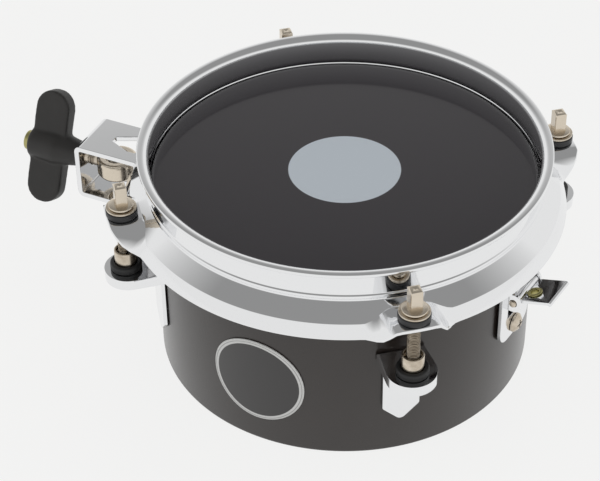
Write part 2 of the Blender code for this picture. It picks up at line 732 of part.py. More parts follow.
def make_bracket(frame, materials):
    top, bottom = -BRACKET_DROP, -BRACKET_DROP - BRACKET_HEIGHT
    half = BRACKET_WIDTH / 2
    outline = [(bracket_inner, bottom), (bracket_outer, bottom), (bracket_outer, top), (bracket_inner, top)]
    corner = BRACKET_CORNER
    outline = rounded(outline, [corner / 4, corner, corner, corner / 4], steps=2)
    wall = BRACKET_SHEET
    inner = [
        (bracket_inner + wall, bottom + wall),
        (bracket_outer - wall, bottom + wall),
        (bracket_outer - wall, top - wall),
        (bracket_inner + wall, top - wall),
    ]
    inner = rounded(inner, [corner / 8, corner - wall, corner - wall, corner / 8], steps=2)
    sections = []
    for (x0, z0), (x1, z1) in zip(outline, inner):
        sections.append([(x0, -half, z0), (x0, half, z0), (x1, half, z1), (x1, -half, z1)])
    bracket = put("mounting_bracket", ring_mesh(sections), materials["chrome"], frame)
    tip = bracket_outer - NOTCH_TIP_SET
    notch = [
        (tip, NOTCH_TIP_WIDTH / 2),
        (tip - NOTCH_LENGTH * 0.7, NOTCH_WIDTH / 2),
        (tip - NOTCH_LENGTH, NOTCH_WIDTH / 2),
        (tip - NOTCH_LENGTH, -NOTCH_WIDTH / 2),
        (tip - NOTCH_LENGTH * 0.7, -NOTCH_WIDTH / 2),
        (tip, -NOTCH_TIP_WIDTH / 2),
    ]
    cut(bracket, put("rod_notch", prism(notch, bottom - 1 * MM, top + 1 * MM), parent=frame))
    reach = bracket_outer + 2 * MM
    hole = rod_along("X", insert_hole / 2, bracket_outer - 8 * MM, reach, (0, bracket_level), SMALL)
    cut(bracket, put("eye_bolt_hole", hole, parent=frame))
    head = 1.9 * BRACKET_SCREW
    seat = seat_inside(head)
    for index, drop in enumerate(BRACKET_SCREW_DROPS, 1):
        level = top - drop
        span = (bracket_inner - 2 * MM, bracket_inner + wall + 2 * MM)
        hole = rod_along("X", BRACKET_SCREW / 2 + RUN, *span, (0, level))
        cut(bracket, put(f"bracket_thread_{index}", hole, parent=frame))
        length = bracket_inner + wall + 0.8 * MM - seat
        screw = screw_mesh(BRACKET_SCREW, length, head, 0.6 * BRACKET_SCREW)
        put(f"bracket_screw_{index}", screw, materials["steel"], frame, (seat, 0, level), (0, -math.pi / 2, 0))


def make_clamp(frame, materials):
    """The eye bolt and its wing nut, both on the clamp's axis."""
    eye = bracket_outer - EYE_SET
    edge = 0.8 * MM
    outer, hole, half = EYE_DIAMETER / 2, EYE_HOLE / 2, EYE_HEIGHT / 2
    profile = [
        (hole, half),
        (outer - edge, half),
        (outer, half - edge),
        (outer, edge - half),
        (outer - edge, -half),
        (hole, -half),
    ]
    bolt = put("eye_bolt", turned(profile, 20), materials["nickel"], frame, (eye, 0, bracket_level))
    start, end = (outer + hole) / 2, insert_end - 0.5 * MM - eye
    shank = rod_along("X", EYE_SHANK / 2, start, end, steps=SMALL)
    join(bolt, put("eye_shank", shank, None, frame, (eye, 0, bracket_level)))

    seat_place, tilt = (wing_seat, 0, bracket_level), (WING_TURN, 0, 0)
    to_x = Matrix.Rotation(math.pi / 2, 4, "Y")
    bore, hub = insert_diameter / 2 + RUN, WING_HUB / 2
    soft = 2.0 * MM
    profile = [
        (bore, 0),
        (WING_COLLAR / 2, 0),
        (WING_COLLAR / 2, WING_COLLAR_LENGTH),
        (hub, WING_COLLAR_LENGTH + soft),
        (hub, WING_LENGTH - soft),
        (hub - soft, WING_LENGTH),
        (bore, WING_LENGTH),
    ]
    hub_mesh = turned(profile, 20)
    hub_mesh.transform(to_x)
    wing = put("wing_nut", hub_mesh, materials["plastic"], frame, seat_place, tilt)
    for name, side in (("upper", 1), ("lower", -1)):
        root, tip = side * (bore + 1.2 * MM), side * WING_SPAN / 2
        mid, far = WING_START, WING_START + WING_WIDTH
        outline = [(mid, root), (far, root), (far, tip), (mid, tip)]
        outline = rounded(outline, [0, 0, WING_WIDTH * 0.48, WING_WIDTH * 0.48], steps=5)
        paddle = prism(outline, -WING_THICKNESS / 2, WING_THICKNESS / 2, "Y")
        rim_edges = [e for e in paddle.edges if abs(e.verts[0].co.y - e.verts[1].co.y) < 1e-7]
        rim_edges = [e for e in rim_edges if max(abs(v.co.z) for v in e.verts) > abs(root) + 1e-6]
        bmesh.ops.bevel(paddle, geom=rim_edges, offset=1.6 * MM, segments=1, affect="EDGES")
        join(wing, put(f"wing_{name}", paddle, None, frame, seat_place, tilt))
    insert = [
        (insert_hole / 2, 1 * MM),
        (insert_diameter / 2, 1 * MM),
        (insert_diameter / 2, WING_LENGTH + INSERT_PROUD - 0.4 * MM),
        (insert_diameter / 2 - 0.4 * MM, WING_LENGTH + INSERT_PROUD),
        (insert_hole / 2, WING_LENGTH + INSERT_PROUD),
    ]
    insert_mesh = turned(insert, SMALL)
    insert_mesh.transform(to_x)
    put("wing_nut_insert", insert_mesh, materials["brass"], frame, seat_place, tilt)


def make_strainer(frame, materials):
    half, top, bottom = PLATE_WIDTH / 2, PLATE_TOP, plate_bottom
    outline = [(-half, bottom), (half, bottom), (half, top), (-half, top)]
    outline = rounded(outline, [PLATE_CORNER, PLATE_CORNER, 3 * MM, 3 * MM], steps=4)
    plate = put("strainer_plate", prism(outline, plate_inner, plate_outer, "X"), materials["chrome"], frame)
    low, high = window_level - WINDOW_HEIGHT / 2, window_level + WINDOW_HEIGHT / 2
    width = WINDOW_WIDTH / 2
    window = box((plate_inner - 1 * MM, -width, low), (plate_outer + 1 * MM, width, high))
    cut(plate, put("plate_window", window, parent=frame))
    for drop in (STRAINER_RIVET_DROP, STRAINER_SCREW_DROP):
        span = (plate_inner - 1 * MM, plate_outer + 1 * MM)
        hole = rod_along("X", STRAINER_SCREW / 2 + RUN, *span, (0, PLATE_TOP - drop))
        cut(plate, put(f"plate_hole_{drop:.3f}", hole, parent=frame))
    upright, inward = (0, math.pi / 2, 0), (0, -math.pi / 2, 0)
    seat = plate_outer + SEAT
    nut_width = 1.6 * STRAINER_SCREW
    nut_seat = seat_inside(nut_width * 2 / math.sqrt(3))
    length = seat - nut_seat + STRAINER_NUT_HEIGHT + 1 * MM
    level = PLATE_TOP - STRAINER_SCREW_DROP
    screw = screw_mesh(STRAINER_SCREW, length, STRAINER_HEAD, STRAINER_HEAD_HEIGHT)
    put("strainer_screw", screw, materials["nickel"], frame, (seat, 0, level), upright)
    nut = nut_mesh(nut_width, STRAINER_SCREW + 1.5 * MM, STRAINER_NUT_HEIGHT)
    put("strainer_nut", nut, materials["steel"], frame, (nut_seat, 0, level), inward)
    level = PLATE_TOP - STRAINER_RIVET_DROP
    rivet = rivet_mesh(STRAINER_SCREW, seat - seat_inside(RIVET_HEAD), RIVET_HEAD, RIVET_HEAD_HEIGHT)
    put("strainer_rivet", rivet, materials["nickel"], frame, (seat, 0, level), upright)
    for name, side in (("near", -1), ("far", 1)):
        inner, outer = side * cheek_inner, side * (cheek_inner + CHEEK_SHEET)
        root = plate_outer - PLATE_SHEET / 2
        reach = plate_outer + CHEEK_REACH
        outline = [
            (root, PIN_LEVEL - CHEEK_HEIGHT / 2),
            (reach, PIN_LEVEL - CHEEK_HEIGHT / 2),
            (reach, PIN_LEVEL + CHEEK_HEIGHT / 2),
            (root, PIN_LEVEL + CHEEK_HEIGHT / 2),
        ]
        outline = rounded(outline, [0, 3.4 * MM, 3.4 * MM, 0])
        join(plate, put(f"cheek_{name}", prism(outline, min(inner, outer), max(inner, outer), "Y"), parent=frame))
    reach = pin_length / 2 + 2 * MM
    hole = rod_along("Y", PIN_DIAMETER / 2 + RUN / 3, -reach, reach, (pin_radius, PIN_LEVEL))
    cut(plate, put("cheek_hole", hole, parent=frame))
    pin = rod_along("Y", PIN_DIAMETER / 2 - RUN / 3, -pin_length / 2, pin_length / 2)
    put("lever_pin", pin, materials["nickel"], frame, (pin_radius, 0, PIN_LEVEL))
    make_lever(frame, materials)


def make_lever(frame, materials):
    place, tilt = (pin_radius, 0, PIN_LEVEL), (0, -LEVER_TILT, 0)
    sheet_half, half = LEVER_SHEET / 2, LEVER_WIDTH / 2
    handle = [
        (LEVER_BARREL / 4, -sheet_half),
        (LEVER_LENGTH, -sheet_half),
        (LEVER_LENGTH + LEVER_LIP * 0.5, -LEVER_LIP),
        (LEVER_LENGTH + LEVER_LIP * 0.5 + LEVER_SHEET, -LEVER_LIP + LEVER_SHEET * 0.4),
        (LEVER_LENGTH + LEVER_SHEET, sheet_half),
        (LEVER_BARREL / 4, sheet_half),
    ]
    radii = [0, 1.0 * MM, 0, 0, 2.4 * MM, 0]
    lever = put(
        "snare_lever", prism(rounded(handle, radii), -half, half, "Y"), materials["chrome"], frame, place, tilt
    )
    barrel = rod_along("Y", LEVER_BARREL / 2, -half, half, steps=SMALL)
    join(lever, put("lever_barrel", barrel, None, frame, place, tilt))
    arm_half, nose = LEVER_ARM_WIDTH / 2, LEVER_NOSE / 2
    arm = box((-LEVER_ARM, -arm_half, -sheet_half), (-LEVER_BARREL / 4, arm_half, sheet_half))
    join(lever, put("lever_arm", arm, None, frame, place, tilt))
    nose_bead = rod_along("Y", nose, -arm_half + 0.4 * MM, arm_half - 0.4 * MM, (-LEVER_ARM, 0))
    join(lever, put("lever_nose", nose_bead, None, frame, place, tilt))
    bore = rod_along("Y", PIN_DIAMETER / 2 + RUN, -half - 1 * MM, half + 1 * MM)
    cut(lever, put("lever_bore", bore, None, frame, place, tilt))
    along = LEVER_BARREL / 2 + EYELET_SET + EYELET_DIAMETER / 2
    neck = EYELET_HOLE / 2 + 0.9 * MM
    hole = rod_along("Z", neck + RUN, -3 * MM, 3 * MM, (along, EYELET_OFFSET))
    cut(lever, put("eyelet_hole", hole, None, frame, place, tilt))
    upper, lower = sheet_half + SEAT, -sheet_half - SEAT
    profile = [
        (EYELET_HOLE / 2, upper + EYELET_FLANGE),
        (EYELET_DIAMETER / 2 - 0.5 * MM, upper + EYELET_FLANGE),
        (EYELET_DIAMETER / 2, upper),
        (neck, upper),
        (neck, lower),
        (EYELET_DIAMETER / 2, lower),
        (EYELET_DIAMETER / 2 - 0.5 * MM, lower - EYELET_FLANGE),
        (EYELET_HOLE / 2, lower - EYELET_FLANGE),
    ]
    eyelet = turned(profile, SMALL)
    eyelet.transform(Matrix.Translation((along, EYELET_OFFSET, 0)))
    put("lever_eyelet", eyelet, materials["brass"], frame, place, tilt)


def make_snares(frame, materials):
    """The carrier, its wires and screws, lowered about the butt pin as the lever holds them."""
    place, tilt = (-butt_radius, 0, butt_level), (0, carrier_travel, 0)
    half, top = carrier_width / 2, carrier_top - butt_level
    end = carrier_end + butt_radius
    under = top - CARRIER_SHEET
    strap = box((0, -half, under), (end, half, top))
    carrier = put("snare_carrier", strap, materials["steel"], frame, place, tilt)
    leg_half, foot = LEVER_ARM_WIDTH / 2, foot_bottom - butt_level
    face = end - 0.2 * MM
    bend = [
        (face - CARRIER_FOOT, foot),
        (face, foot),
        (face, top - CARRIER_SHEET / 2),
        (face - CARRIER_SHEET, top - CARRIER_SHEET / 2),
        (face - CARRIER_SHEET, foot + CARRIER_SHEET),
        (face - CARRIER_FOOT, foot + CARRIER_SHEET),
    ]
    join(carrier, put("carrier_leg", prism(bend, -leg_half, leg_half, "Y"), None, frame, place, tilt))
    barrel = rod_along("Y", BUTT_BARREL / 2, -half, half)
    join(carrier, put("carrier_barrel", barrel, None, frame, place, tilt))
    bore = rod_along("Y", BUTT_PIN / 2 + RUN, -half - 1 * MM, half + 1 * MM)
    cut(carrier, put("carrier_bore", bore, None, frame, place, tilt))

    solder_half = half - CARRIER_SPARE / 2
    plate_top = solder_top - butt_level
    first = BUTT_BARREL / 2 + 1.5 * MM
    last = end - CARRIER_SHEET - 3.0 * MM
    near = box((first, -solder_half, plate_top - SOLDER_PLATE), (first + SOLDER_LENGTH, solder_half, plate_top))
    wires = put("snare_wires", near, materials["steel"], frame, place, tilt)
    far = box((last - SOLDER_LENGTH, -solder_half, plate_top - SOLDER_PLATE), (last, solder_half, plate_top))
    join(wires, put("solder_plate_far", far, None, frame, place, tilt))
    spare = SOLDER_LENGTH - SOLDER_OVERLAP
    for k in range(WIRE_COUNT):
        across = (k - (WIRE_COUNT - 1) / 2) * WIRE_PITCH
        height = wire_level - butt_level
        wire = rod_along("X", WIRE_DIAMETER / 2, first + spare, last - spare, (across, height), 6)
        join(wires, put(f"wire_{k}", wire, None, frame, place, tilt))
    for index, along in enumerate((first + spare / 2, last - spare / 2), 1):
        hole = rod_along("Z", SNARE_SCREW / 2 + RUN, under - 1 * MM, top + 1 * MM, (along, 0))
        cut(carrier, put(f"carrier_hole_{index}", hole, None, frame, place, tilt))
        hole = rod_along("Z", SNARE_SCREW / 2 + RUN, plate_top - 2 * MM, plate_top + 1 * MM, (along, 0))
        cut(wires, put(f"solder_hole_{index}", hole, None, frame, place, tilt))
        length = plate_top + SEAT - under + 0.5 * MM
        screw = screw_mesh(SNARE_SCREW, length, SNARE_HEAD, SNARE_HEAD_HEIGHT)
        screw.transform(Matrix.Translation((along, 0, plate_top + SEAT)))
        put(f"snare_screw_{index}", screw, materials["nickel"], frame, place, tilt)
    make_butt(frame, materials, half)


def make_butt(frame, materials, carrier_half):
    """The hinge bracket across from the strainer, screwed through the shell."""
    inner = carrier_half + SEAT
    outer = inner + BUTT_SHEET
    wall = math.sqrt(shell_inner**2 - outer**2) - SEAT
    top = butt_level + BUTT_BARREL / 2
    narrow = 0.36 * outer
    shoulder = top - BUTT_SHOULDER
    outline = [
        (-outer, shoulder),
        (-outer, top - 16 * MM),
        (-narrow, top - 24 * MM),
        (-narrow, top - BUTT_HEIGHT),
        (narrow, top - BUTT_HEIGHT),
        (narrow, top - 24 * MM),
        (outer, top - 16 * MM),
        (outer, shoulder),
    ]
    strap = prism(outline, -wall, -wall + BUTT_SHEET, "X")
    bracket = put("butt_bracket", strap, materials["steel"], frame)
    for name, side in (("near", -1), ("far", 1)):
        tip = -butt_radius + BUTT_BARREL * 0.6
        ear = [(-wall, top - 12 * MM), (tip, top - BUTT_BARREL), (tip, top)]
        ear += [(-wall + BUTT_SHOULDER, top), (-wall, shoulder)]
        low, high = sorted((side * inner, side * outer))
        join(bracket, put(f"butt_ear_{name}", prism(ear, low, high, "Y"), parent=frame))
    reach = outer + 2 * MM
    hole = rod_along("Y", BUTT_PIN / 2 + RUN / 3, -reach, reach, (-butt_radius, butt_level))
    cut(bracket, put("butt_ear_hole", hole, parent=frame))
    span = (-wall - 2 * MM, -wall + BUTT_SHEET + 2 * MM)
    hole = rod_along("X", BUTT_SCREW / 2 + RUN, *span, (0, BUTT_SCREW_LEVEL))
    cut(bracket, put("butt_screw_hole", hole, parent=frame))
    length = 2 * outer + 1 * MM
    pin = rod_along("Y", BUTT_PIN / 2 - RUN / 3, -length / 2, length / 2)
    put("butt_pin", pin, materials["nickel"], frame, (-butt_radius, 0, butt_level))
    nut_seat = wall - BUTT_SHEET - SEAT
    seat = shell_radius + SEAT
    length = seat - nut_seat + BUTT_NUT_HEIGHT + 1 * MM
    screw = screw_mesh(BUTT_SCREW, length, BUTT_HEAD, BUTT_HEAD_HEIGHT)
    put("butt_screw", screw, materials["nickel"], frame, (-seat, 0, BUTT_SCREW_LEVEL), (0, -math.pi / 2, 0))
    nut = nut_mesh(1.6 * BUTT_SCREW, BUTT_SCREW + 1.5 * MM, BUTT_NUT_HEIGHT)
    put("butt_nut", nut, materials["steel"], frame, (-nut_seat, 0, BUTT_SCREW_LEVEL), (0, math.pi / 2, 0))


def make_materials():
    return {
        "paint": make_material("black_powder_coat", (0.035, 0.03, 0.028), 0.38, 0.0),
        "chrome": make_material("chrome_plate", (0.86, 0.86, 0.87), 0.06, 1.0),
        "nickel": make_material("nickel_plate", (0.72, 0.64, 0.54), 0.25, 1.0),
        "steel": make_material("zinc_plated_steel", (0.62, 0.62, 0.6), 0.35, 1.0),
        "brass": make_material("brass", (0.5, 0.44, 0.2), 0.3, 1.0),
        "aluminium": make_material("hoop_aluminium", (0.75, 0.75, 0.75), 0.35, 1.0),
        "film": make_material("black_head_film", (0.03, 0.027, 0.029), 0.12, 0.0),
        "nylon": make_material("black_nylon", (0.02, 0.02, 0.02), 0.4, 0.0),
        "rubber": make_material("black_rubber", (0.012, 0.012, 0.012), 0.45, 0.0),
        "plastic": make_material("black_moulded_plastic", (0.016, 0.015, 0.014), 0.5, 0.0),
        "badge": make_material("badge_print", (0.6, 0.6, 0.6), 0.3, 0.0),
    }


def main():
    clear_scene()
    materials = make_materials()
    lug_frames = []
    for k in range(LUG_COUNT):
        turn = LUG_TURN + 2 * math.pi * k / LUG_COUNT
        lug_frames.append(make_frame(f"lug_frame_{k + 1}", turn))
    bracket_frame = make_frame("bracket_frame", BRACKET_TURN)
    strainer_frame = make_frame("strainer_frame", STRAINER_TURN)
    make_shell(materials["paint"], lug_frames, bracket_frame, strainer_frame)
    make_head(materials["film"], materials["aluminium"])
    make_rim(materials["chrome"], lug_frames)
    for number, frame in enumerate(lug_frames, 1):
        make_lug(number, frame, materials)
    make_badge(materials)
    make_bracket(bracket_frame, materials)
    make_clamp(bracket_frame, materials)
    make_strainer(strainer_frame, materials)
    make_snares(strainer_frame, materials)


main()
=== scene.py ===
import math

import bmesh
import bpy
from mathutils import Matrix, Vector


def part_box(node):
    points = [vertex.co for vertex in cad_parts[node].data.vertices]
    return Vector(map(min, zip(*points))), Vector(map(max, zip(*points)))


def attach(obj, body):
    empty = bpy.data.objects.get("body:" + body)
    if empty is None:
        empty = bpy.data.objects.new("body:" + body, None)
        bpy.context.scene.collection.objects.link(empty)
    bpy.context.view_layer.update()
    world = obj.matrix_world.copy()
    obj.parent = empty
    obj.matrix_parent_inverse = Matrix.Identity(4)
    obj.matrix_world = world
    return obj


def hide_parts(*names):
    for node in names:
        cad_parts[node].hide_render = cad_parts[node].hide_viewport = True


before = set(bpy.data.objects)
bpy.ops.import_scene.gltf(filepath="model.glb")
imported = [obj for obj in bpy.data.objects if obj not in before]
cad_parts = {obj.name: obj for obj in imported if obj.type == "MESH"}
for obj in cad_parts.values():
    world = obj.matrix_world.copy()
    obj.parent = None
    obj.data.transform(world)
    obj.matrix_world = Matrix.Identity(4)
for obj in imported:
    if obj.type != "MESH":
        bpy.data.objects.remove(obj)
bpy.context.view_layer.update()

mm = 0.001
quarterTurn = math.pi / 2
drumFacets = 240
lugTurn = math.radians(45)
strainerTurn = math.radians(-2.2)
bracketTurn = math.radians(184.8)
fittingSeat = 101.9 * mm  # radius at which brackets, plate and badge stand on the shell


def inMetres(sizes):  # sizes that are written in millimetres
    return {name: size * mm for name, size in sizes.items()}


# A socket that takes part in Python expressions
class Wire:
    def __init__(self, graph, socket):
        self.graph, self.socket = graph, socket

    def maths(self, operation, first, second):
        return self.graph.add("ShaderNodeMath", {"operation": operation}, {0: first, 1: second})

    def __add__(self, other):
        return self.maths("ADD", self, other)

    def __radd__(self, other):
        return self.maths("ADD", other, self)

    def __sub__(self, other):
        return self.maths("SUBTRACT", self, other)

    def __rsub__(self, other):
        return self.maths("SUBTRACT", other, self)

    def __mul__(self, other):
        return self.maths("MULTIPLY", self, other)

    def __rmul__(self, other):
        return self.maths("MULTIPLY", other, self)

    def __pow__(self, other):
        return self.maths("POWER", self, other)

    def below(self, edge, soft):  # 1 under the edge, 0 over it, with a soft step
        return self.graph.add(
            "ShaderNodeMapRange", {"clamp": True},
            {"Value": self, "From Min": edge - soft, "From Max": edge + soft, "To Min": 1.0, "To Max": 0.0},
        )

    def zigzag(self, period):  # 0 to 1 and back once in each period
        return self.maths("PINGPONG", self * (2 / period), 1.0)


# Any tree of nodes, with one way to add a node
class Graph:
    def __init__(self, tree):
        self.tree, self.nodes = tree, tree.nodes

    def put(self, node, values):
        for key, value in values.items():
            if isinstance(value, Wire):
                self.tree.links.new(value.socket, node.inputs[key])
            else:
                node.inputs[key].default_value = value

    def add(self, kind, settings, values, out=0):
        node = self.nodes.new(kind)
        for key, value in settings.items():
            setattr(node, key, value)
        self.put(node, values)
        return Wire(self, node.outputs[out])


# One material and what is wired in it
class Finish(Graph):
    def __init__(self, name, color, roughness, metallic=0.0):
        self.material = bpy.data.materials.new(name)
        self.material.use_nodes = True
        super().__init__(self.material.node_tree)
        self.shader = self.nodes["Principled BSDF"]
        self.put(self.shader, {"Base Color": (*color, 1), "Roughness": roughness, "Metallic": metallic})
        self.place = self.add("ShaderNodeTexCoord", {}, {}, out="Object")

    def surface(self, **values):
        self.put(self.shader, {key.replace("_", " "): value for key, value in values.items()})

    def axes(self):
        split = self.add("ShaderNodeSeparateXYZ", {}, {0: self.place})
        return [Wire(self, socket) for socket in split.socket.node.outputs]

    def noise(self, size, detail=3.0):  # size of the spots in metres
        return self.add(
            "ShaderNodeTexNoise", {}, {"Vector": self.place, "Scale": 1 / size, "Detail": detail}
        )

    def blend(self, share, first, second):
        return self.add(
            "ShaderNodeMix", {"data_type": "RGBA"}, {0: share, 6: (*first, 1), 7: (*second, 1)}, out=2
        )

    def bump(self, height, depth):
        self.surface(Normal=self.add("ShaderNodeBump", {}, {"Height": height, "Distance": depth}))


# A Geometry Nodes tree with named inputs, which ends in one real mesh with its finish on
class ShapeTree(Graph):
    def __init__(self, name, inputs):
        super().__init__(bpy.data.node_groups.new(name, "GeometryNodeTree"))
        face = self.tree.interface
        for title, kind in {**inputs, "Finish": "Material"}.items():
            face.new_socket(title, in_out="INPUT", socket_type="NodeSocket" + kind)
        face.new_socket("Geometry", in_out="OUTPUT", socket_type="NodeSocketGeometry")
        self.start = self.nodes.new("NodeGroupInput")

    def given(self, title):
        return Wire(self, self.start.outputs[title])

    def close(self, shape):
        real = self.add("GeometryNodeRealizeInstances", {}, {0: shape})
        done = self.add("GeometryNodeSetMaterial", {}, {"Geometry": real, "Material": self.given("Finish")})
        self.put(self.nodes.new("NodeGroupOutput"), {0: done})
        return self.tree


def chromeFinish():
    look = {
        "color": (0.86, 0.865, 0.875), "roughness": 0.05, "smear": 0.05, "smearSize": 20 * mm,
        "wave": 0.012 * mm, "waveSize": 16 * mm,
    }
    finish = Finish("chromePlate", look["color"], look["roughness"], 1.0)
    smear = finish.noise(look["smearSize"]) * look["smear"]
    finish.surface(Roughness=smear + (look["roughness"] - look["smear"] / 3))
    finish.bump(finish.noise(look["waveSize"], 1.0), look["wave"])
    return finish


def nickelFinish(name="warmNickel"):
    look = {
        "clean": (0.74, 0.66, 0.55), "dull": (0.5, 0.43, 0.34), "stainSize": 5 * mm, "stainEdge": 0.5,
        "stainSoft": 0.18, "roughness": 0.2, "smoothest": 0.12, "stainRoughness": 0.22,
        "grainSize": 1.2 * mm, "grain": 0.02 * mm,
    }
    finish = Finish(name, look["clean"], look["roughness"], 1.0)
    stain = finish.noise(look["stainSize"], 4.0)
    dulled = stain.below(look["stainEdge"], look["stainSoft"])
    finish.surface(
        Base_Color=finish.blend(dulled, look["clean"], look["dull"]),
        Roughness=stain * look["stainRoughness"] + look["smoothest"],
    )
    finish.bump(finish.noise(look["grainSize"]), look["grain"])
    return finish


def threadedFinish(name, direction, start, pitch):  # thread along a direction, past a start
    look = {
        "grooveShade": (0.3, 0.25, 0.19), "crest": (0.72, 0.64, 0.53), "wear": 0.5, "wearSize": 2 * mm,
        "soft": 0.2 * mm, "depth": 0.1 * mm,
    }
    finish = nickelFinish(name)
    x, y, z = finish.axes()
    along = x * direction[0] + y * direction[1] + z * direction[2]
    plain = along.below(start, look["soft"])
    worn = finish.noise(look["wearSize"], 4.0) * look["wear"]
    # painted shade: the threaded length takes the darker groove colour, standing for the shade in the thread's
    # grooves; worn spots of noise lift it towards the crest colour, which the plain part keeps
    finish.surface(Base_Color=finish.blend(plain + (1 - plain) * worn, look["grooveShade"], look["crest"]))
    finish.bump(along.zigzag(pitch) * (1 - plain), look["depth"])
    return finish


def paintFinish():
    look = {
        "deep": (0.019, 0.014, 0.012), "light": (0.027, 0.021, 0.018), "cloudSize": 40 * mm,
        "roughness": 0.3, "uneven": 0.12, "coat": 0.25, "coatRoughness": 0.18,
        "grainSize": 0.8 * mm, "grain": 0.03 * mm,
    }
    finish = Finish("blackPowderCoat", look["deep"], look["roughness"])
    speckle = finish.noise(look["grainSize"], 5.0)
    finish.surface(
        Base_Color=finish.blend(finish.noise(look["cloudSize"], 2.0), look["deep"], look["light"]),
        Roughness=speckle * look["uneven"] + (look["roughness"] - look["uneven"] / 2),
        Coat_Weight=look["coat"],
        Coat_Roughness=look["coatRoughness"],
    )
    finish.bump(speckle, look["grain"])
    return finish


def filmFinish():
    look = {
        "film": (0.022, 0.018, 0.023), "disc": (0.6, 0.66, 0.72), "discRadius": 29.8 * mm,
        "discSoft": 0.15 * mm, "roughness": 0.1, "smoothest": 0.09, "discRoughness": 0.3, "haze": 0.04,
        "hazeSize": 30 * mm, "discMetal": 0.2, "coat": 0.3, "coatLostOnDisc": 0.25, "coatRoughness": 0.05,
        "wave": 0.03 * mm, "waveSize": 50 * mm,
    }
    finish = Finish("headFilm", look["film"], look["roughness"])
    x, y = finish.axes()[:2]
    disc = ((x * x + y * y) ** 0.5).below(look["discRadius"], look["discSoft"])
    haze = finish.noise(look["hazeSize"]) * look["haze"]
    finish.surface(
        Base_Color=finish.blend(disc, look["film"], look["disc"]),
        Roughness=look["smoothest"] + disc * look["discRoughness"] + haze,
        Metallic=disc * look["discMetal"],
        Coat_Weight=look["coat"] - disc * look["coatLostOnDisc"],
        Coat_Roughness=look["coatRoughness"],
    )
    finish.bump(finish.noise(look["waveSize"], 1.0), look["wave"])
    return finish


badgeSizes = {
    "turn": math.radians(-87.3),
    **inMetres({
        "drop": 67, "radius": 26, "thick": 0.8, "field": 23.4, "hairInner": 24.6, "hairOuter": 25.0,
        "edgeSoft": 0.1, "relief": 0.06,
    }),
}


def badgeFinish():
    badge = badgeSizes
    look = {
        "ring": (0.62, 0.62, 0.61), "dark": (0.02, 0.018, 0.018), "hairline": 0.5, "metal": 0.3, "coat": 0.4,
        "roughness": 0.3, "smoothest": 0.26, "uneven": 0.1, "unevenSize": 2 * mm,
    }
    finish = Finish("badgePrint", look["ring"], look["roughness"])
    x, y, z = finish.axes()
    across = y * math.cos(badge["turn"]) - x * math.sin(badge["turn"])
    up = z + badge["drop"]
    radius = (across * across + up * up) ** 0.5
    field, inner, outer = (
        radius.below(badge[edge], badge["edgeSoft"]) for edge in ("field", "hairInner", "hairOuter")
    )
    finish.surface(
        Base_Color=finish.blend(field + (outer - inner) * look["hairline"], look["ring"], look["dark"]),
        Roughness=look["smoothest"] + finish.noise(look["unevenSize"]) * look["uneven"],
        Metallic=look["metal"] - field * look["metal"],
        Coat_Weight=look["coat"],
    )
    finish.bump(field, badge["relief"])
    return finish


def mouldedFinish(name, color, roughness, grain, depth):
    look = {"paler": 1.7, "cloudSize": 10 * mm, "uneven": 0.2}
    finish = Finish(name, color, roughness)
    pale = tuple(c * look["paler"] for c in color)
    spots = finish.noise(grain, 4.0)
    finish.surface(
        Base_Color=finish.blend(finish.noise(look["cloudSize"]), color, pale),
        Roughness=spots * look["uneven"] + (roughness - look["uneven"] / 2),
    )
    finish.bump(spots, depth)
    return finish


def metalFinish(name, color, roughness):
    look = {
        "darker": 0.75, "uneven": 0.2, "unevenSize": 3 * mm, "grainSize": 0.9 * mm, "grain": 0.02 * mm,
    }
    finish = Finish(name, color, roughness, 1.0)
    spots = finish.noise(look["unevenSize"], 5.0)
    finish.surface(
        Base_Color=finish.blend(spots, tuple(c * look["darker"] for c in color), color),
        Roughness=spots * look["uneven"] + (roughness - look["uneven"] / 2),
    )
    finish.bump(finish.noise(look["grainSize"]), look["grain"])
    return finish


# Outlines: rectangle, circle, arcs in place of corners, parallel line, and the section of a bent sheet
def rectLine(x0, y0, x1, y1):
    return [(x0, y0), (x1, y0), (x1, y1), (x0, y1)]


def circleLine(radius, steps, centre=(0, 0)):
    angles = [2 * math.pi * k / steps for k in range(steps)]
    return [(centre[0] + radius * math.cos(a), centre[1] + radius * math.sin(a)) for a in angles]


def roundedLine(points, radii, steps=5, closed=True):
    line = []
    for i, (corner, radius) in enumerate(zip(points, radii)):
        if radius <= 0 or (not closed and i in (0, len(points) - 1)):
            line.append(corner)
            continue
        corner = Vector(corner)
        before = Vector(points[i - 1]) - corner
        after = Vector(points[(i + 1) % len(points)]) - corner
        half = before.angle(after) / 2
        reach = min(radius / math.tan(half), 0.49 * before.length, 0.49 * after.length)
        before.normalize()
        after.normalize()
        radius = reach * math.tan(half)
        centre = corner + (before + after).normalized() * radius / math.sin(half)
        first = corner + before * reach - centre
        last = corner + after * reach - centre
        start = math.atan2(first.y, first.x)
        sweep = (math.atan2(last.y, last.x) - start + math.pi) % (2 * math.pi) - math.pi
        for k in range(steps + 1):
            angle = start + sweep * k / steps
            line.append((centre.x + radius * math.cos(angle), centre.y + radius * math.sin(angle)))
    return line


def besideLine(line, distance):
    sides = [(Vector(b) - Vector(a)).normalized() for a, b in zip(line, line[1:])]
    sides = [Vector((side.y, -side.x)) for side in sides]
    moved = []
    for i, point in enumerate(line):
        both = sides[max(i - 1, 0)] + sides[min(i, len(sides) - 1)]
        moved.append(tuple(Vector(point) + both * (2 * distance / both.length_squared)))
    return moved


def sheetSection(line, thickness, edge=0.0):
    section = line + besideLine(line, thickness)[::-1]
    if not edge:
        return section
    radii = [0] * len(section)
    for end in (0, len(line) - 1, len(line), len(section) - 1):
        radii[end] = edge
    return roundedLine(section, radii, steps=3)


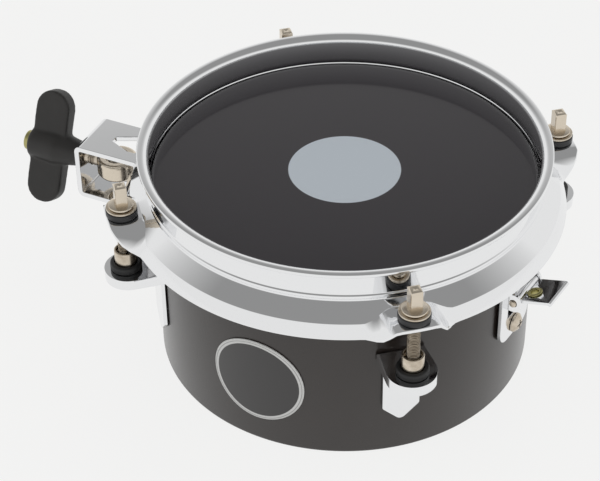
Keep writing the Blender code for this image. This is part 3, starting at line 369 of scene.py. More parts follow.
# Meshes from outlines
def joinRings(bm, ring, following):  # with triangles where one of them is a single point
    steps = max(len(ring), len(following))
    for k in range(steps if steps > 1 else 0):
        m = (k + 1) % steps
        corners = [ring[k % len(ring)], ring[m % len(ring)]]
        corners += [following[m % len(following)], following[k % len(following)]]
        bm.faces.new(list(dict.fromkeys(corners)))


def bandMesh(sections):
    bm = bmesh.new()
    rings = [[bm.verts.new(point) for point in section] for section in sections]
    for ring, following in zip(rings, rings[1:] + rings[:1]):
        joinRings(bm, ring, following)
    return bm


def turnedMesh(profile, steps=64):
    sections = []
    for radius, z in profile:
        around = circleLine(radius, steps) if radius > 1e-7 else [(0, 0)]
        sections.append([(x, y, z) for x, y in around])
    return bandMesh(sections)


def prismMesh(outline, low, high, axis="Z"):
    order = {"Z": lambda a, b, h: (a, b, h), "X": lambda a, b, h: (h, a, b), "Y": lambda a, b, h: (a, h, b)}
    place = order[axis]
    bm = bmesh.new()
    floor = [bm.verts.new(place(a, b, low)) for a, b in outline]
    roof = [bm.verts.new(place(a, b, high)) for a, b in outline]
    bm.faces.new(floor)
    bm.faces.new(roof[::-1])
    for i in range(len(outline)):
        j = (i + 1) % len(outline)
        bm.faces.new((floor[i], roof[i], roof[j], floor[j]))
    return bm


def barMesh(axis, radius, low, high, centre=(0, 0), steps=48):
    return prismMesh(circleLine(radius, steps, centre), low, high, axis)


def blockMesh(low, high):
    return prismMesh(rectLine(*low[:2], *high[:2]), low[2], high[2])


def looseObject(name, data):
    obj = bpy.data.objects.new(name, data)
    bpy.context.scene.collection.objects.link(obj)
    return obj


def meshObject(name, bm, matrix=None):
    bmesh.ops.recalc_face_normals(bm, faces=bm.faces)
    if matrix:
        bm.transform(matrix)
    mesh = bpy.data.meshes.new(name)
    bm.to_mesh(mesh)
    bm.free()
    return looseObject(name, mesh)


def plainMesh(obj):  # bakes what the modifiers make
    graph = bpy.context.evaluated_depsgraph_get()
    mesh = bpy.data.meshes.new_from_object(obj.evaluated_get(graph))
    obj.modifiers.clear()
    obj.data = mesh


def shapePiece(name, bm, matrix=None, joins=(), cuts=(), bevel=0.0, smooth=35):
    piece = meshObject(name, bm, matrix)
    helpers = []
    for kind, shapes in (("UNION", joins), ("DIFFERENCE", cuts)):
        for i, shape in enumerate(shapes):
            helper = meshObject(f"{name}{kind}{i}", shape, matrix)
            helpers.append(helper)
            change = piece.modifiers.new(kind, "BOOLEAN")
            change.operation, change.object = kind, helper
    if bevel:
        edge = piece.modifiers.new("edges", "BEVEL")
        edge.width, edge.segments, edge.limit_method = bevel, 3, "ANGLE"
        edge.angle_limit = math.radians(38)
        piece.modifiers.new("normals", "WEIGHTED_NORMAL").keep_sharp = True
    piece.data.shade_smooth()
    if piece.modifiers:
        plainMesh(piece)
    if not bevel:
        piece.data.set_sharp_from_angle(angle=math.radians(smooth))
    for helper in helpers:
        bpy.data.objects.remove(helper)
    return piece


def finishPiece(piece, finish, body, nodes=()):
    piece.data.materials.clear()
    piece.data.materials.append(finish.material)
    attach(piece, body)
    if nodes:
        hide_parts(*nodes)


def turnedBy(angle, place=(0, 0, 0), tilt=0.0, axis="Y"):
    turn = Matrix.Rotation(angle, 4, "Z") @ Matrix.Translation(Vector(place))
    return turn @ Matrix.Rotation(tilt, 4, axis)


def copiesTree():  # a shape repeated round the drum's axis
    tree = ShapeTree("copiesRoundTheDrum", {"Geometry": "Geometry", "Copies": "Int", "Step Angle": "Float"})
    points = tree.add("GeometryNodePoints", {}, {"Count": tree.given("Copies")})
    index = tree.add("GeometryNodeInputIndex", {}, {})
    turn = tree.add("ShaderNodeCombineXYZ", {}, {"Z": index * tree.given("Step Angle")})
    copies = tree.add(
        "GeometryNodeInstanceOnPoints", {},
        {"Points": points, "Instance": tree.given("Geometry"), "Rotation": turn},
    )
    return tree.close(copies)


def woundWire(tree, radius, wire, steps, sides):  # steps in each turn, sides of the wire
    spiral = tree.add("GeometryNodeCurveSpiral", {}, {
        "Resolution": steps, "Rotations": tree.given("Turns"), "Start Radius": radius, "End Radius": radius,
        "Height": tree.given("Length"),
    })
    ring = tree.add("GeometryNodeCurvePrimitiveCircle", {}, {"Resolution": sides, "Radius": wire})
    return tree.add("GeometryNodeCurveToMesh", {}, {"Curve": spiral, "Profile Curve": ring, "Fill Caps": True})


def coilsTree():  # parallel coils of thin wire, side by side
    tree = ShapeTree("snareCoils", {
        "Strands": "Int", "Spacing": "Float", "Turns": "Float", "Coil Radius": "Float", "Wire Radius": "Float",
        "Length": "Float",
    })
    coil = woundWire(tree, tree.given("Coil Radius"), tree.given("Wire Radius"), 10, 5)
    lying = tree.add("GeometryNodeTransform", {}, {"Geometry": coil, "Rotation": (0, quarterTurn, 0)})
    step = tree.add("ShaderNodeCombineXYZ", {}, {"Y": tree.given("Spacing")})
    row = tree.add("GeometryNodeMeshLine", {}, {"Count": tree.given("Strands"), "Offset": step})
    return tree.close(tree.add("GeometryNodeInstanceOnPoints", {}, {"Points": row, "Instance": lying}))


def threadTree():  # a ridge wound round a screw
    tree = ShapeTree("screwThread", {"Turns": "Float", "Radius": "Float", "Ridge": "Float", "Length": "Float"})
    return tree.close(woundWire(tree, tree.given("Radius"), tree.given("Ridge"), 28, 4))


def runTree(obj, tree, values):
    run = obj.modifiers.new(tree.name, "NODES")
    run.node_group = tree
    for socket in tree.interface.items_tree:
        if socket.in_out == "INPUT" and socket.name in values:
            run[socket.identifier] = values[socket.name]
    plainMesh(obj)


def addThread(piece, tree, finish, matrix, screw):
    coil = meshObject(piece.name + "Thread", bmesh.new())
    runTree(coil, tree, {
        "Turns": screw["threadLong"] / screw["pitch"], "Radius": screw["threadRadius"],
        "Ridge": screw["pitch"] * 0.42, "Length": screw["threadLong"], "Finish": finish.material,
    })
    coil.data.transform(matrix @ Matrix.Translation((0, 0, screw["threadLow"])))
    bm = bmesh.new()
    bm.from_mesh(piece.data)
    bm.from_mesh(coil.data)
    bm.to_mesh(piece.data)
    bm.free()
    bpy.data.objects.remove(coil)


def windowBlock(inner, outer):  # opening for the snares' arm, in the shell and in the plate on it
    window = inMetres({"half": 8.4, "low": -52.2, "high": -31.2})
    return blockMesh((inner, -window["half"], window["low"]), (outer, window["half"], window["high"]))


def shellPiece(finishes):
    shell = inMetres({
        "radius": 101.6, "wall": 1.5, "top": -0.65, "bottom": -109.2, "topReturn": 3, "return": 4.5,
        "roll": 2.997, "bend": 1.8, "softEdge": 0.4,
    })
    line = [
        (shell["radius"] - shell["topReturn"], shell["top"]), (shell["radius"], shell["top"]),
        (shell["radius"], shell["bottom"]), (shell["radius"] - shell["return"], shell["bottom"]),
    ]
    line = roundedLine(line, [0, shell["roll"], shell["bend"], 0], steps=8, closed=False)
    opening = windowBlock(90 * mm, 110 * mm)
    opening.transform(turnedBy(strainerTurn))
    body = turnedMesh(sheetSection(line, shell["wall"], shell["softEdge"]), drumFacets)
    piece = shapePiece("drumShell", body, cuts=[opening])
    finishPiece(piece, finishes["paint"], "drum", ["shell"])
    print("shell made")


def headPieces(finishes):
    head = inMetres({"flat": 98.6, "edge": 102.25, "roll": 3.6, "foot": -14.6, "film": 0.35})
    line = [(head["flat"], 0), (head["edge"], 0), (head["edge"], head["foot"])]
    line = roundedLine(line, [0, head["roll"], 0], steps=8, closed=False)
    profile = [(0, 0)] + sheetSection(line, head["film"]) + [(0, -head["film"])]
    piece = shapePiece("headFilm", turnedMesh(profile, drumFacets))
    finishPiece(piece, finishes["film"], "drum", ["head_film"])

    hoop = inMetres({"inner": 102.55, "outer": 107.95, "corner": 0.8})
    inner, outer = hoop["inner"], hoop["outer"]
    low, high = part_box("flesh_hoop")
    section = [(inner, low.z), (inner, high.z), (outer, high.z), (outer, low.z)]
    section = roundedLine(section, [hoop["corner"]] * 4, 4)
    piece = shapePiece("fleshHoop", turnedMesh(section, drumFacets))
    finishPiece(piece, finishes["aluminium"], "drum", ["flesh_hoop"])
    print("head made")


rimSizes = {
    "facets": 288, "skirtLean": math.radians(29.5),
    **inMetres({
        "sheet": 2.3, "inner": 102.85, "height": 16.6, "lip": 6.2, "wallFoot": 2.5, "flareReach": 9.0,
        "flareDrop": 7.4, "skirt": 7.9, "earLevel": -4.7, "earFlat": 9.0, "earSpread": 25.0, "earFold": 110.2,
        "earFront": 128.4, "boltRadius": 120.0, "hole": 3.8, "bead": 0.8, "beadTop": 1.3, "beadHigh": 0.6,
        "beadLow": -0.8, "beadFoot": -1.5, "softEdge": 0.7,
    }),
}


def rimSection(ear):  # 0 between the lugs, 1 at an ear
    rim = rimSizes
    outer = rim["inner"] + rim["sheet"]
    bead = outer + rim["bead"]
    fold = outer + rim["flareReach"]
    drop = rim["flareDrop"] + ear * (-rim["earLevel"] - rim["wallFoot"] - rim["flareDrop"])
    lean = (quarterTurn - rim["skirtLean"]) * (1 - ear)
    length = rim["skirt"] + ear * (rim["earFront"] - rim["earFold"] - rim["skirt"])
    corner = (fold + ear * (rim["earFold"] - fold), -rim["wallFoot"] - drop)
    corners = [
        (rim["inner"] + rim["lip"], rim["height"] - rim["sheet"]), (outer, rim["height"] - rim["sheet"]),
        (outer, rim["beadTop"]), (bead, rim["beadHigh"]), (bead, rim["beadLow"]), (outer, rim["beadFoot"]),
        (outer, -rim["wallFoot"]), corner,
        (corner[0] + length * math.cos(lean), corner[1] - length * math.sin(lean)),
    ]
    bends = [x * mm for x in (0, 1.6, 0.5, 0.5, 0.5, 0.5, 1.0, 1.1, 0)]
    line = roundedLine(corners, bends, steps=6, closed=False)
    return sheetSection(line, rim["sheet"], rim["softEdge"])


def rimPiece(finishes):
    rim = rimSizes
    sections, holes = [], []
    for k in range(rim["facets"]):
        angle = 2 * math.pi * k / rim["facets"]
        away = abs((angle - lugTurn + math.pi / 4) % quarterTurn - math.pi / 4) * rim["boltRadius"]
        rise = max(0.0, min(1.0, (away - rim["earFlat"]) / (rim["earSpread"] - rim["earFlat"])))
        section = rimSection(1 - rise * rise * (3 - 2 * rise))
        sections.append([(r * math.cos(angle), r * math.sin(angle), z) for r, z in section])
    for k in range(4):
        hole = barMesh("Z", rim["hole"], -12 * mm, 0.0, (rim["boltRadius"], 0))
        hole.transform(turnedBy(lugTurn + k * quarterTurn))
        holes.append(hole)
    piece = shapePiece("hoopRim", bandMesh(sections), cuts=holes, smooth=50)
    finishPiece(piece, finishes["chrome"], "drum", ["rim"])
    print("rim made")


def rodPieces(finishes, tree):
    rod = inMetres({
        "radius": 3.5, "shoulder": -5.2, "neck": -5.6, "root": 3.05, "end": -53.0, "tip": 0.8, "flange": 6.7,
        "low": 0.9, "thick": 1.3, "key": 6.35, "keyLong": 11.5, "keySunk": 0.4, "keyCrown": 1.3,
        "keySide": 0.35, "dimple": 1.4, "pitch": 1.0, "threadLow": -52.4, "threadLong": 46.6,
        "threadRadius": 3.08,
    })
    washers = (  # piece, node, look, then radius, low, high and soft edge in millimetres
        ("steelWasher", "steel_washer", "nickel", 8.0, -0.5, 0.6, 0.25),
        ("nylonWasher", "nylon_washer", "nylon", 8.3, -4.4, -0.8, 0.7),
    )
    bore, boreSoft = 3.8 * mm, 0.1 * mm
    top, flange, low = rod["low"] + rod["thick"], rod["flange"], rod["low"]
    keyTop, half = top + rod["keyLong"], rod["key"] / 2
    profile = [
        (0, top), (flange - 0.5 * mm, top), (flange - 0.1 * mm, top - 0.15 * mm), (flange, top - 0.5 * mm),
        (flange, low + 0.3 * mm), (flange - 0.3 * mm, low), (rod["radius"], low),
        (rod["radius"], rod["shoulder"]), (rod["root"], rod["neck"]), (rod["root"], rod["end"] + rod["tip"]),
        (rod["root"] - rod["tip"], rod["end"]), (0, rod["end"]),
    ]
    for number in range(1, 5):
        matrix = turnedBy(lugTurn + (number - 1) * quarterTurn, (rimSizes["boltRadius"], 0, 0))
        key = blockMesh((-half, -half, top - rod["keySunk"]), (half, half, keyTop))
        upper = [e for e in key.edges if all(v.co.z > top for v in e.verts)]
        bmesh.ops.bevel(key, geom=upper, offset=rod["keyCrown"], segments=4, affect="EDGES", profile=0.6)
        sides = [e for e in key.edges if abs(e.verts[0].co.z - e.verts[1].co.z) > 5 * mm]
        bmesh.ops.bevel(key, geom=sides, offset=rod["keySide"], segments=2, affect="EDGES")
        dimple = [(0, keyTop - 0.5 * mm), (rod["dimple"], keyTop + 0.3 * mm), (0, keyTop + 0.4 * mm)]
        piece = shapePiece(
            f"tensionRod{number}", turnedMesh(profile, 48), matrix, joins=[key], cuts=[turnedMesh(dimple, 24)]
        )
        addThread(piece, tree, finishes["rodThread"], matrix, rod)
        finishPiece(piece, finishes["rodThread"], f"rod_{number}", [f"tension_rod_{number}"])
        for title, node, look, *sizes in washers:
            radius, under, over, soft = (size * mm for size in sizes)
            section = roundedLine(rectLine(bore, under, radius, over), [boreSoft, soft, soft, boreSoft], 4)
            piece = shapePiece(f"{title}{number}", turnedMesh(section), matrix)
            finishPiece(piece, finishes[look], f"washers_{number}", [f"{node}_{number}"])
    print("rods made")


def noseOutline(lug, inset, back):  # the tray's edge, round in front
    half = lug["noseHalf"] - inset
    angles = [-quarterTurn + math.pi * k / 32 for k in range(33)]
    nose = [(lug["noseCentre"] + half * math.cos(a), half * math.sin(a)) for a in angles]
    return [(back, half), (back, -half)] + nose


def lugPieces(finishes, tree):
    def finishFour(piece, look, node):
        around = {"Copies": 4, "Step Angle": quarterTurn, "Finish": finishes[look].material}
        runTree(piece, tree, around)
        finishPiece(piece, finishes[look], "drum", [node.format(k) for k in range(1, 5)])

    lug = inMetres({
        "level": -39.6, "sheet": 2.0, "lip": 6.0, "noseHalf": 13.0, "noseCentre": 118.6, "bend": 1.7,
        "legHalf": 9.85, "leg": 47, "legPoint": 9.6, "hole": 6.1, "stud": 2.5, "studIn": 92.6,
        "studOut": 102.6, "softEdge": 0.3,
    })
    studDrops = (17 * mm, 33 * mm)
    top, half, sheet = lug["level"], lug["legHalf"], lug["sheet"]
    face, tip = fittingSeat + sheet, top - lug["leg"]
    tray = prismMesh(noseOutline(lug, 0, fittingSeat), top - lug["lip"], top)
    upper = [e for e in tray.edges if all(v.co.z > top - 1e-6 for v in e.verts)]
    bmesh.ops.bevel(tray, geom=upper, offset=lug["bend"], segments=5, affect="EDGES", profile=0.5)
    hollow = prismMesh(noseOutline(lug, sheet, face), top - lug["lip"] - 1 * mm, top - sheet)
    line = [
        (half, top - 1 * mm), (-half, top - 1 * mm), (-half, tip + lug["legPoint"]), (0, tip),
        (half, tip + lug["legPoint"]),
    ]
    leg = prismMesh(roundedLine(line, [0, 0, 2 * mm, 3 * mm, 2 * mm], 5), fittingSeat, face, "X")
    hole = barMesh("Z", lug["hole"], top - 4 * mm, top + 2 * mm, (rimSizes["boltRadius"], 0))
    studs = [
        barMesh("X", lug["stud"], lug["studIn"], lug["studOut"], (0, top - drop), 24) for drop in studDrops
    ]
    bracket = shapePiece(
        "lugBrackets", tray, turnedBy(lugTurn), joins=[leg, *studs], cuts=[hollow, hole], bevel=lug["softEdge"]
    )
    finishFour(bracket, "chrome", "lug_bracket_{}")

    sleeve = inMetres({
        "radius": 5.8, "bore": 3.8, "mouth": 4.7, "mouthLow": 2.1, "mouthEnd": 3, "top": -27.6, "under": -41.9,
        "flange": 7.8, "thick": 2.6,
    })
    mouth, radius, flange, bore = (sleeve[k] for k in ("mouth", "radius", "flange", "bore"))
    high, under, foot = sleeve["top"], sleeve["under"], sleeve["under"] - sleeve["thick"]
    section = [
        (mouth, high), (radius, high), (radius, under), (flange, under), (flange, foot), (bore, foot),
        (bore, high - sleeve["mouthEnd"]), (mouth, high - sleeve["mouthLow"]),
    ]
    section = roundedLine(section, [x * mm for x in (0.2, 0.5, 0, 0.4, 0.4, 0.2, 0, 0)], 4)
    matrix = turnedBy(lugTurn, (rimSizes["boltRadius"], 0, 0))
    finishFour(shapePiece("sleeveNuts", turnedMesh(section), matrix), "nickel", "sleeve_nut_{}")

    ring = inMetres({"bore": 6.1, "radius": 8.4, "low": -39.3, "high": -35.4})
    section = rectLine(ring["bore"], ring["low"], ring["radius"], ring["high"])
    section = roundedLine(section, [x * mm for x in (0.2, 0.5, 1.6, 0.3)], 5)
    finishFour(shapePiece("rubberGrommets", turnedMesh(section), matrix), "rubber", "grommet_{}")

    nut = inMetres({"reach": 4.62, "thick": 4, "bore": 3.0, "seat": 99.7, "softEdge": 0.35})
    for row, drop in enumerate(studDrops, 1):
        body = prismMesh(circleLine(nut["reach"], 6), 0, nut["thick"])
        bore = barMesh("Z", nut["bore"], -1 * mm, nut["thick"] + 1 * mm, steps=32)
        seat = turnedBy(lugTurn, (nut["seat"], 0, top - drop), -quarterTurn)
        nuts = shapePiece(f"lugNutsRow{row}", body, seat, cuts=[bore], bevel=nut["softEdge"])
        finishFour(nuts, "steel", "lug_nut_{}_" + str(row))
    print("lugs made")


def badgePiece(finishes):
    badge = badgeSizes
    steps, rings = 96, 10
    bm = bmesh.new()
    layers = []
    for depth, shrink in ((0.0, 1.0), (badge["thick"] * 0.6, 1.0), (badge["thick"], 0.985)):
        wall = fittingSeat + depth
        grid = []
        for i in range(rings + 1):
            share = badge["radius"] * shrink * i / rings
            row = []
            for x, y in circleLine(share, steps if i else 1):
                side = badge["turn"] + x / fittingSeat
                row.append(bm.verts.new((wall * math.cos(side), wall * math.sin(side), y - badge["drop"])))
            grid.append(row)
        layers.append(grid)
    for grid in (layers[0], layers[-1]):
        for inner, outer in zip(grid, grid[1:]):
            joinRings(bm, inner, outer)
    for low, high in zip(layers, layers[1:]):
        joinRings(bm, low[-1], high[-1])
    bmesh.ops.delete(bm, geom=[v for v in bm.verts if not v.link_faces], context="VERTS")
    finishPiece(shapePiece("roundBadge", bm), finishes["badge"], "drum", ["badge"])
    print("badge made")


def clampPieces(finishes):
    clamp = inMetres({
        "end": 158.6, "top": -21.4, "bottom": -55.6, "half": 15.6, "sheet": 3.0, "corner": 4.0,
        "notchSet": 17.4, "notchLong": 17.4, "notchTip": 2.1, "notchHalf": 7.5, "boltHole": 4.3,
        "screwHole": 3.3, "upperScrew": 9.6, "lowerScrew": 24.6, "softEdge": 0.35,
    })
    end, top, bottom, half, wall = (clamp[k] for k in ("end", "top", "bottom", "half", "sheet"))
    back, level = fittingSeat, (top + bottom) / 2
    foot, front, inside = 1 * mm, clamp["corner"], clamp["corner"] - wall
    outline = roundedLine(rectLine(back, bottom, end, top), [foot, front, front, foot], 6)
    inner = rectLine(back + wall, bottom + wall, end - wall, top - wall)
    inner = roundedLine(inner, [0.5 * mm, inside, inside, 0.5 * mm], 6)
    sections = []
    for (x0, z0), (x1, z1) in zip(outline, inner):
        sections.append([(x0, -half, z0), (x0, half, z0), (x1, half, z1), (x1, -half, z1)])
    tip = end - clamp["notchSet"]
    shoulder, deep = tip - 0.7 * clamp["notchLong"], tip - clamp["notchLong"]
    near, wide = clamp["notchTip"], clamp["notchHalf"]
    notch = [(tip, near), (shoulder, wide), (deep, wide), (deep, -wide), (shoulder, -wide), (tip, -near)]
    cuts = [
        prismMesh(roundedLine(notch, [0.8 * mm] * 6, 4), bottom - 1 * mm, top + 1 * mm),
        barMesh("X", clamp["boltHole"], end - 8 * mm, end + 2 * mm, (0, level)),
    ]
    for drop in (clamp["upperScrew"], clamp["lowerScrew"]):
        cuts.append(barMesh("X", clamp["screwHole"], back - 2 * mm, back + 5 * mm, (0, top - drop)))
    bracket = shapePiece(
        "clampBracket", bandMesh(sections), turnedBy(bracketTurn), cuts=cuts, bevel=clamp["softEdge"]
    )
    finishPiece(bracket, finishes["chrome"], "drum", ["mounting_bracket"])

    eye = inMetres({
        "set": 140.3, "outer": 11.7, "hole": 6.75, "half": 5.5, "shank": 4.0, "shankStart": 9,
        "shankEnd": 58.5, "softEdge": 0.4,
    })
    section = rectLine(eye["hole"], eye["half"], eye["outer"], -eye["half"])
    section = roundedLine(section, [x * mm for x in (0.8, 2.4, 2.4, 0.8)], 6)
    shank = barMesh("X", eye["shank"], eye["shankStart"], eye["shankEnd"])
    place = turnedBy(bracketTurn, (eye["set"], 0, level))
    bolt = shapePiece("eyeBolt", turnedMesh(section, 96), place, joins=[shank], bevel=eye["softEdge"])
    finishPiece(bolt, finishes["eyeThread"], "eye", ["eye_bolt"])

    wing = {
        "turn": math.radians(23.3), "softPasses": 30,
        **inMetres({
            "seat": 158.9, "long": 37, "hub": 10, "collar": 7.2, "collarLong": 6, "belly": 20, "bore": 6.0,
            "start": 14.4, "wide": 21.4, "root": 7.2, "tip": 33, "round": 10.4, "half": 4.5, "voxel": 0.55,
        }),
    }
    spin = turnedBy(bracketTurn, (wing["seat"], 0, level)) @ Matrix.Rotation(wing["turn"], 4, "X")
    lay = Matrix.Rotation(quarterTurn, 4, "Y")
    section = [
        (wing["bore"], 0), (wing["collar"], 0), (wing["collar"], wing["collarLong"]),
        (wing["hub"], wing["belly"]), (wing["hub"] - 1 * mm, wing["long"]), (wing["bore"], wing["long"]),
    ]
    section = roundedLine(section, [x * mm for x in (0, 0.8, 6, 8, 3, 0)], 8)
    hub = turnedMesh(section, 96)
    hub.transform(lay)
    wings = []
    for side in (1, -1):
        line = rectLine(wing["start"], side * wing["root"], wing["start"] + wing["wide"], side * wing["tip"])
        line = roundedLine(line, [0, 0, wing["round"], wing["round"]], 12)
        wings.append(prismMesh(line, -wing["half"], wing["half"], "Y"))
    nut = shapePiece("wingNut", hub, spin, joins=wings)
    remesh = nut.modifiers.new("blend", "REMESH")
    remesh.mode, remesh.voxel_size = "VOXEL", wing["voxel"]
    soften = nut.modifiers.new("soften", "SMOOTH")
    soften.factor, soften.iterations = 0.5, wing["softPasses"]
    plainMesh(nut)
    nut.data.shade_smooth()
    finishPiece(nut, finishes["plastic"], "wing", ["wing_nut"])

    insert = inMetres({"bore": 4.3, "radius": 5.7, "start": 1, "end": 40.4})
    section = rectLine(insert["bore"], insert["start"], insert["radius"], insert["end"])
    tube = turnedMesh(roundedLine(section, [x * mm for x in (0.2, 0.2, 0.6, 0.4)], 4))
    tube.transform(lay)
    finishPiece(shapePiece("brassInsert", tube, spin), finishes["brass"], "wing", ["wing_nut_insert"])
    print("clamp made")


def crossScrew(radius, height, shank, end):
    head = [
        (0, height), (radius * 0.55, height), (radius, height * 0.35), (radius, 0), (shank, 0), (shank, end),
        (0, end),
    ]
    body = turnedMesh(roundedLine(head, [0, radius * 0.5, height * 0.3, 0.1 * mm, 0, 0.5 * mm, 0], 6))
    arm, width, floor, over = radius * 0.5, radius * 0.09, height * 0.45, height + 1 * mm
    slots = [blockMesh((-x, -y, floor), (x, y, over)) for x, y in ((arm, width), (width, arm))]
    return body, slots


def strainerPieces(finishes):
    plate = inMetres({
        "outer": 103.9, "half": 15.6, "top": -19.6, "bottom": -67.0, "topCorner": 3, "bottomCorner": 8,
        "rivetLevel": -25.2, "screwLevel": -60.0, "hole": 2.8, "cheekIn": 10.6, "cheekOut": 12.4,
        "cheekReach": 8.1, "cheekHalf": 5.5, "cheekCorner": 3.6, "pinLevel": -36.9, "pinSet": 108.0,
        "pinHole": 2.1, "softEdge": 0.3,
    })
    inner, outer, half, pinLevel, pinSet = (
        fittingSeat, *(plate[k] for k in ("outer", "half", "pinLevel", "pinSet"))
    )
    before, behind = inner - 1 * mm, outer + 1 * mm
    low, high = pinLevel - plate["cheekHalf"], pinLevel + plate["cheekHalf"]
    corners = [plate["bottomCorner"]] * 2 + [plate["topCorner"]] * 2
    line = roundedLine(rectLine(-half, plate["bottom"], half, plate["top"]), corners, 8)
    outline = rectLine(outer - 1 * mm, low, outer + plate["cheekReach"], high)
    outline = roundedLine(outline, [0, plate["cheekCorner"], plate["cheekCorner"], 0], 6)
    cheeks = []
    for side in (-1, 1):
        cheeks.append(prismMesh(outline, *sorted((side * plate["cheekIn"], side * plate["cheekOut"])), "Y"))
    cuts = [windowBlock(before, behind)]
    for level in (plate["rivetLevel"], plate["screwLevel"]):
        cuts.append(barMesh("X", plate["hole"], before, behind, (0, level), 32))
    cuts.append(barMesh("Y", plate["pinHole"], -20 * mm, 20 * mm, (pinSet, pinLevel), 32))
    piece = shapePiece(
        "strainerPlate", prismMesh(line, inner, outer, "X"), turnedBy(strainerTurn), joins=cheeks, cuts=cuts,
        bevel=plate["softEdge"],
    )
    finishPiece(piece, finishes["chrome"], "drum", ["strainer_plate"])

    screw = inMetres({"seat": 104.2, "radius": 5.3, "height": 3.2, "shank": 2.5, "end": -9.5})
    body, slots = crossScrew(screw["radius"], screw["height"], screw["shank"], screw["end"])
    outward = turnedBy(strainerTurn, (screw["seat"], 0, plate["screwLevel"]), quarterTurn)
    piece = shapePiece("strainerScrew", body, outward, cuts=slots)
    finishPiece(piece, finishes["nickel"], "drum", ["strainer_screw"])

    rivet = inMetres({"radius": 4.3, "height": 1.0, "shank": 2.5, "grip": -4.5, "round": 0.7})
    head, shank, height, grip = (rivet[k] for k in ("radius", "shank", "height", "grip"))
    section = [
        (0, height), (head, height), (head, 0), (shank, 0), (shank, grip), (head, grip), (head, grip - height),
        (0, grip - height),
    ]
    section = roundedLine(section, [0, rivet["round"], 0, 0, 0, 0, rivet["round"], 0], 5)
    outward = turnedBy(strainerTurn, (screw["seat"], 0, plate["rivetLevel"]), quarterTurn)
    piece = shapePiece("strainerRivet", turnedMesh(section, 48), outward)
    finishPiece(piece, finishes["nickel"], "drum", ["strainer_rivet"])

    pin = inMetres({"radius": 1.9, "half": 13.4, "round": 0.5})
    section = rectLine(0, pin["half"], pin["radius"], -pin["half"])
    section = roundedLine(section, [0, pin["round"], pin["round"], 0], 4)
    along = turnedBy(strainerTurn, (pinSet, 0, pinLevel), quarterTurn, "X")
    piece = shapePiece("leverPin", turnedMesh(section, 40), along)
    finishPiece(piece, finishes["nickel"], "drum", ["lever_pin"])
    leverPieces(finishes, (pinSet, 0, pinLevel))
    print("strainer made")


def leverPieces(finishes, pinPlace):
    matrix = turnedBy(strainerTurn, pinPlace, math.radians(-18.3))
    lever = inMetres({
        "sheet": 0.8, "half": 10.3, "long": 19.0, "lip": 1.5, "lipTop": 0.64, "start": 1, "bend": 2.4,
        "barrel": 3.7, "bore": 2.3, "arm": 13.5, "armHalf": 7, "leafHalf": 8, "leafSheet": 0.9, "leafLow": 2.8,
        "leafHigh": 7.4, "hook": 1.5, "hookHalf": 6.6, "eyeletSet": 8.1, "eyeletSide": -2.5, "eyeletHole": 3.3,
        "softEdge": 0.25,
    })
    thin, long, lip, arm, half = (lever[k] for k in ("sheet", "long", "lip", "arm", "half"))
    armHalf, leafHalf, leaf = lever["armHalf"], lever["leafHalf"], lever["leafSheet"]
    edge = long + 0.5 * lip
    handle = [
        (lever["start"], -thin), (long, -thin), (edge, -lip), (edge + 2 * thin, -lip + lever["lipTop"]),
        (long + 2 * thin, thin), (lever["start"], thin),
    ]
    handle = roundedLine(handle, [0, 1.0 * mm, 0.3 * mm, 0.3 * mm, lever["bend"], 0], 6)
    joins = [
        barMesh("Y", lever["barrel"], -half, half),
        blockMesh((-arm, -armHalf, -thin), (-lever["start"], armHalf, thin)),
        blockMesh((-leaf, -leafHalf, lever["leafLow"]), (leaf, leafHalf, lever["leafHigh"])),
        barMesh("Y", lever["hook"], -lever["hookHalf"], lever["hookHalf"], (-arm, 0), 24),
    ]
    spot = (lever["eyeletSet"], lever["eyeletSide"])
    cuts = [
        barMesh("Y", lever["bore"], -12 * mm, 12 * mm, steps=40),
        barMesh("Z", lever["eyeletHole"], -3 * mm, 3 * mm, spot, 40),
    ]
    body = prismMesh(handle, -half, half, "Y")
    piece = shapePiece("snareLever", body, matrix, joins=joins, cuts=cuts, bevel=lever["softEdge"])
    finishPiece(piece, finishes["chrome"], "lever", ["snare_lever"])

    eyelet = inMetres({"bore": 2.1, "radius": 4.0, "barrel": 3.0, "high": 1.8, "under": 1.1})
    bore, radius, barrel, high, under = (eyelet[k] for k in ("bore", "radius", "barrel", "high", "under"))
    section = [
        (bore, high), (radius, high), (radius, under), (barrel, under), (barrel, -under), (radius, -under),
        (radius, -high), (bore, -high),
    ]
    ring = turnedMesh(roundedLine(section, [x * mm for x in (0.6, 0.4, 0, 0, 0, 0, 0.4, 0.6)], 4), 48)
    ring.transform(Matrix.Translation((*spot, 0)))
    finishPiece(shapePiece("leverEyelet", ring, matrix), finishes["brass"], "lever", ["lever_eyelet"])


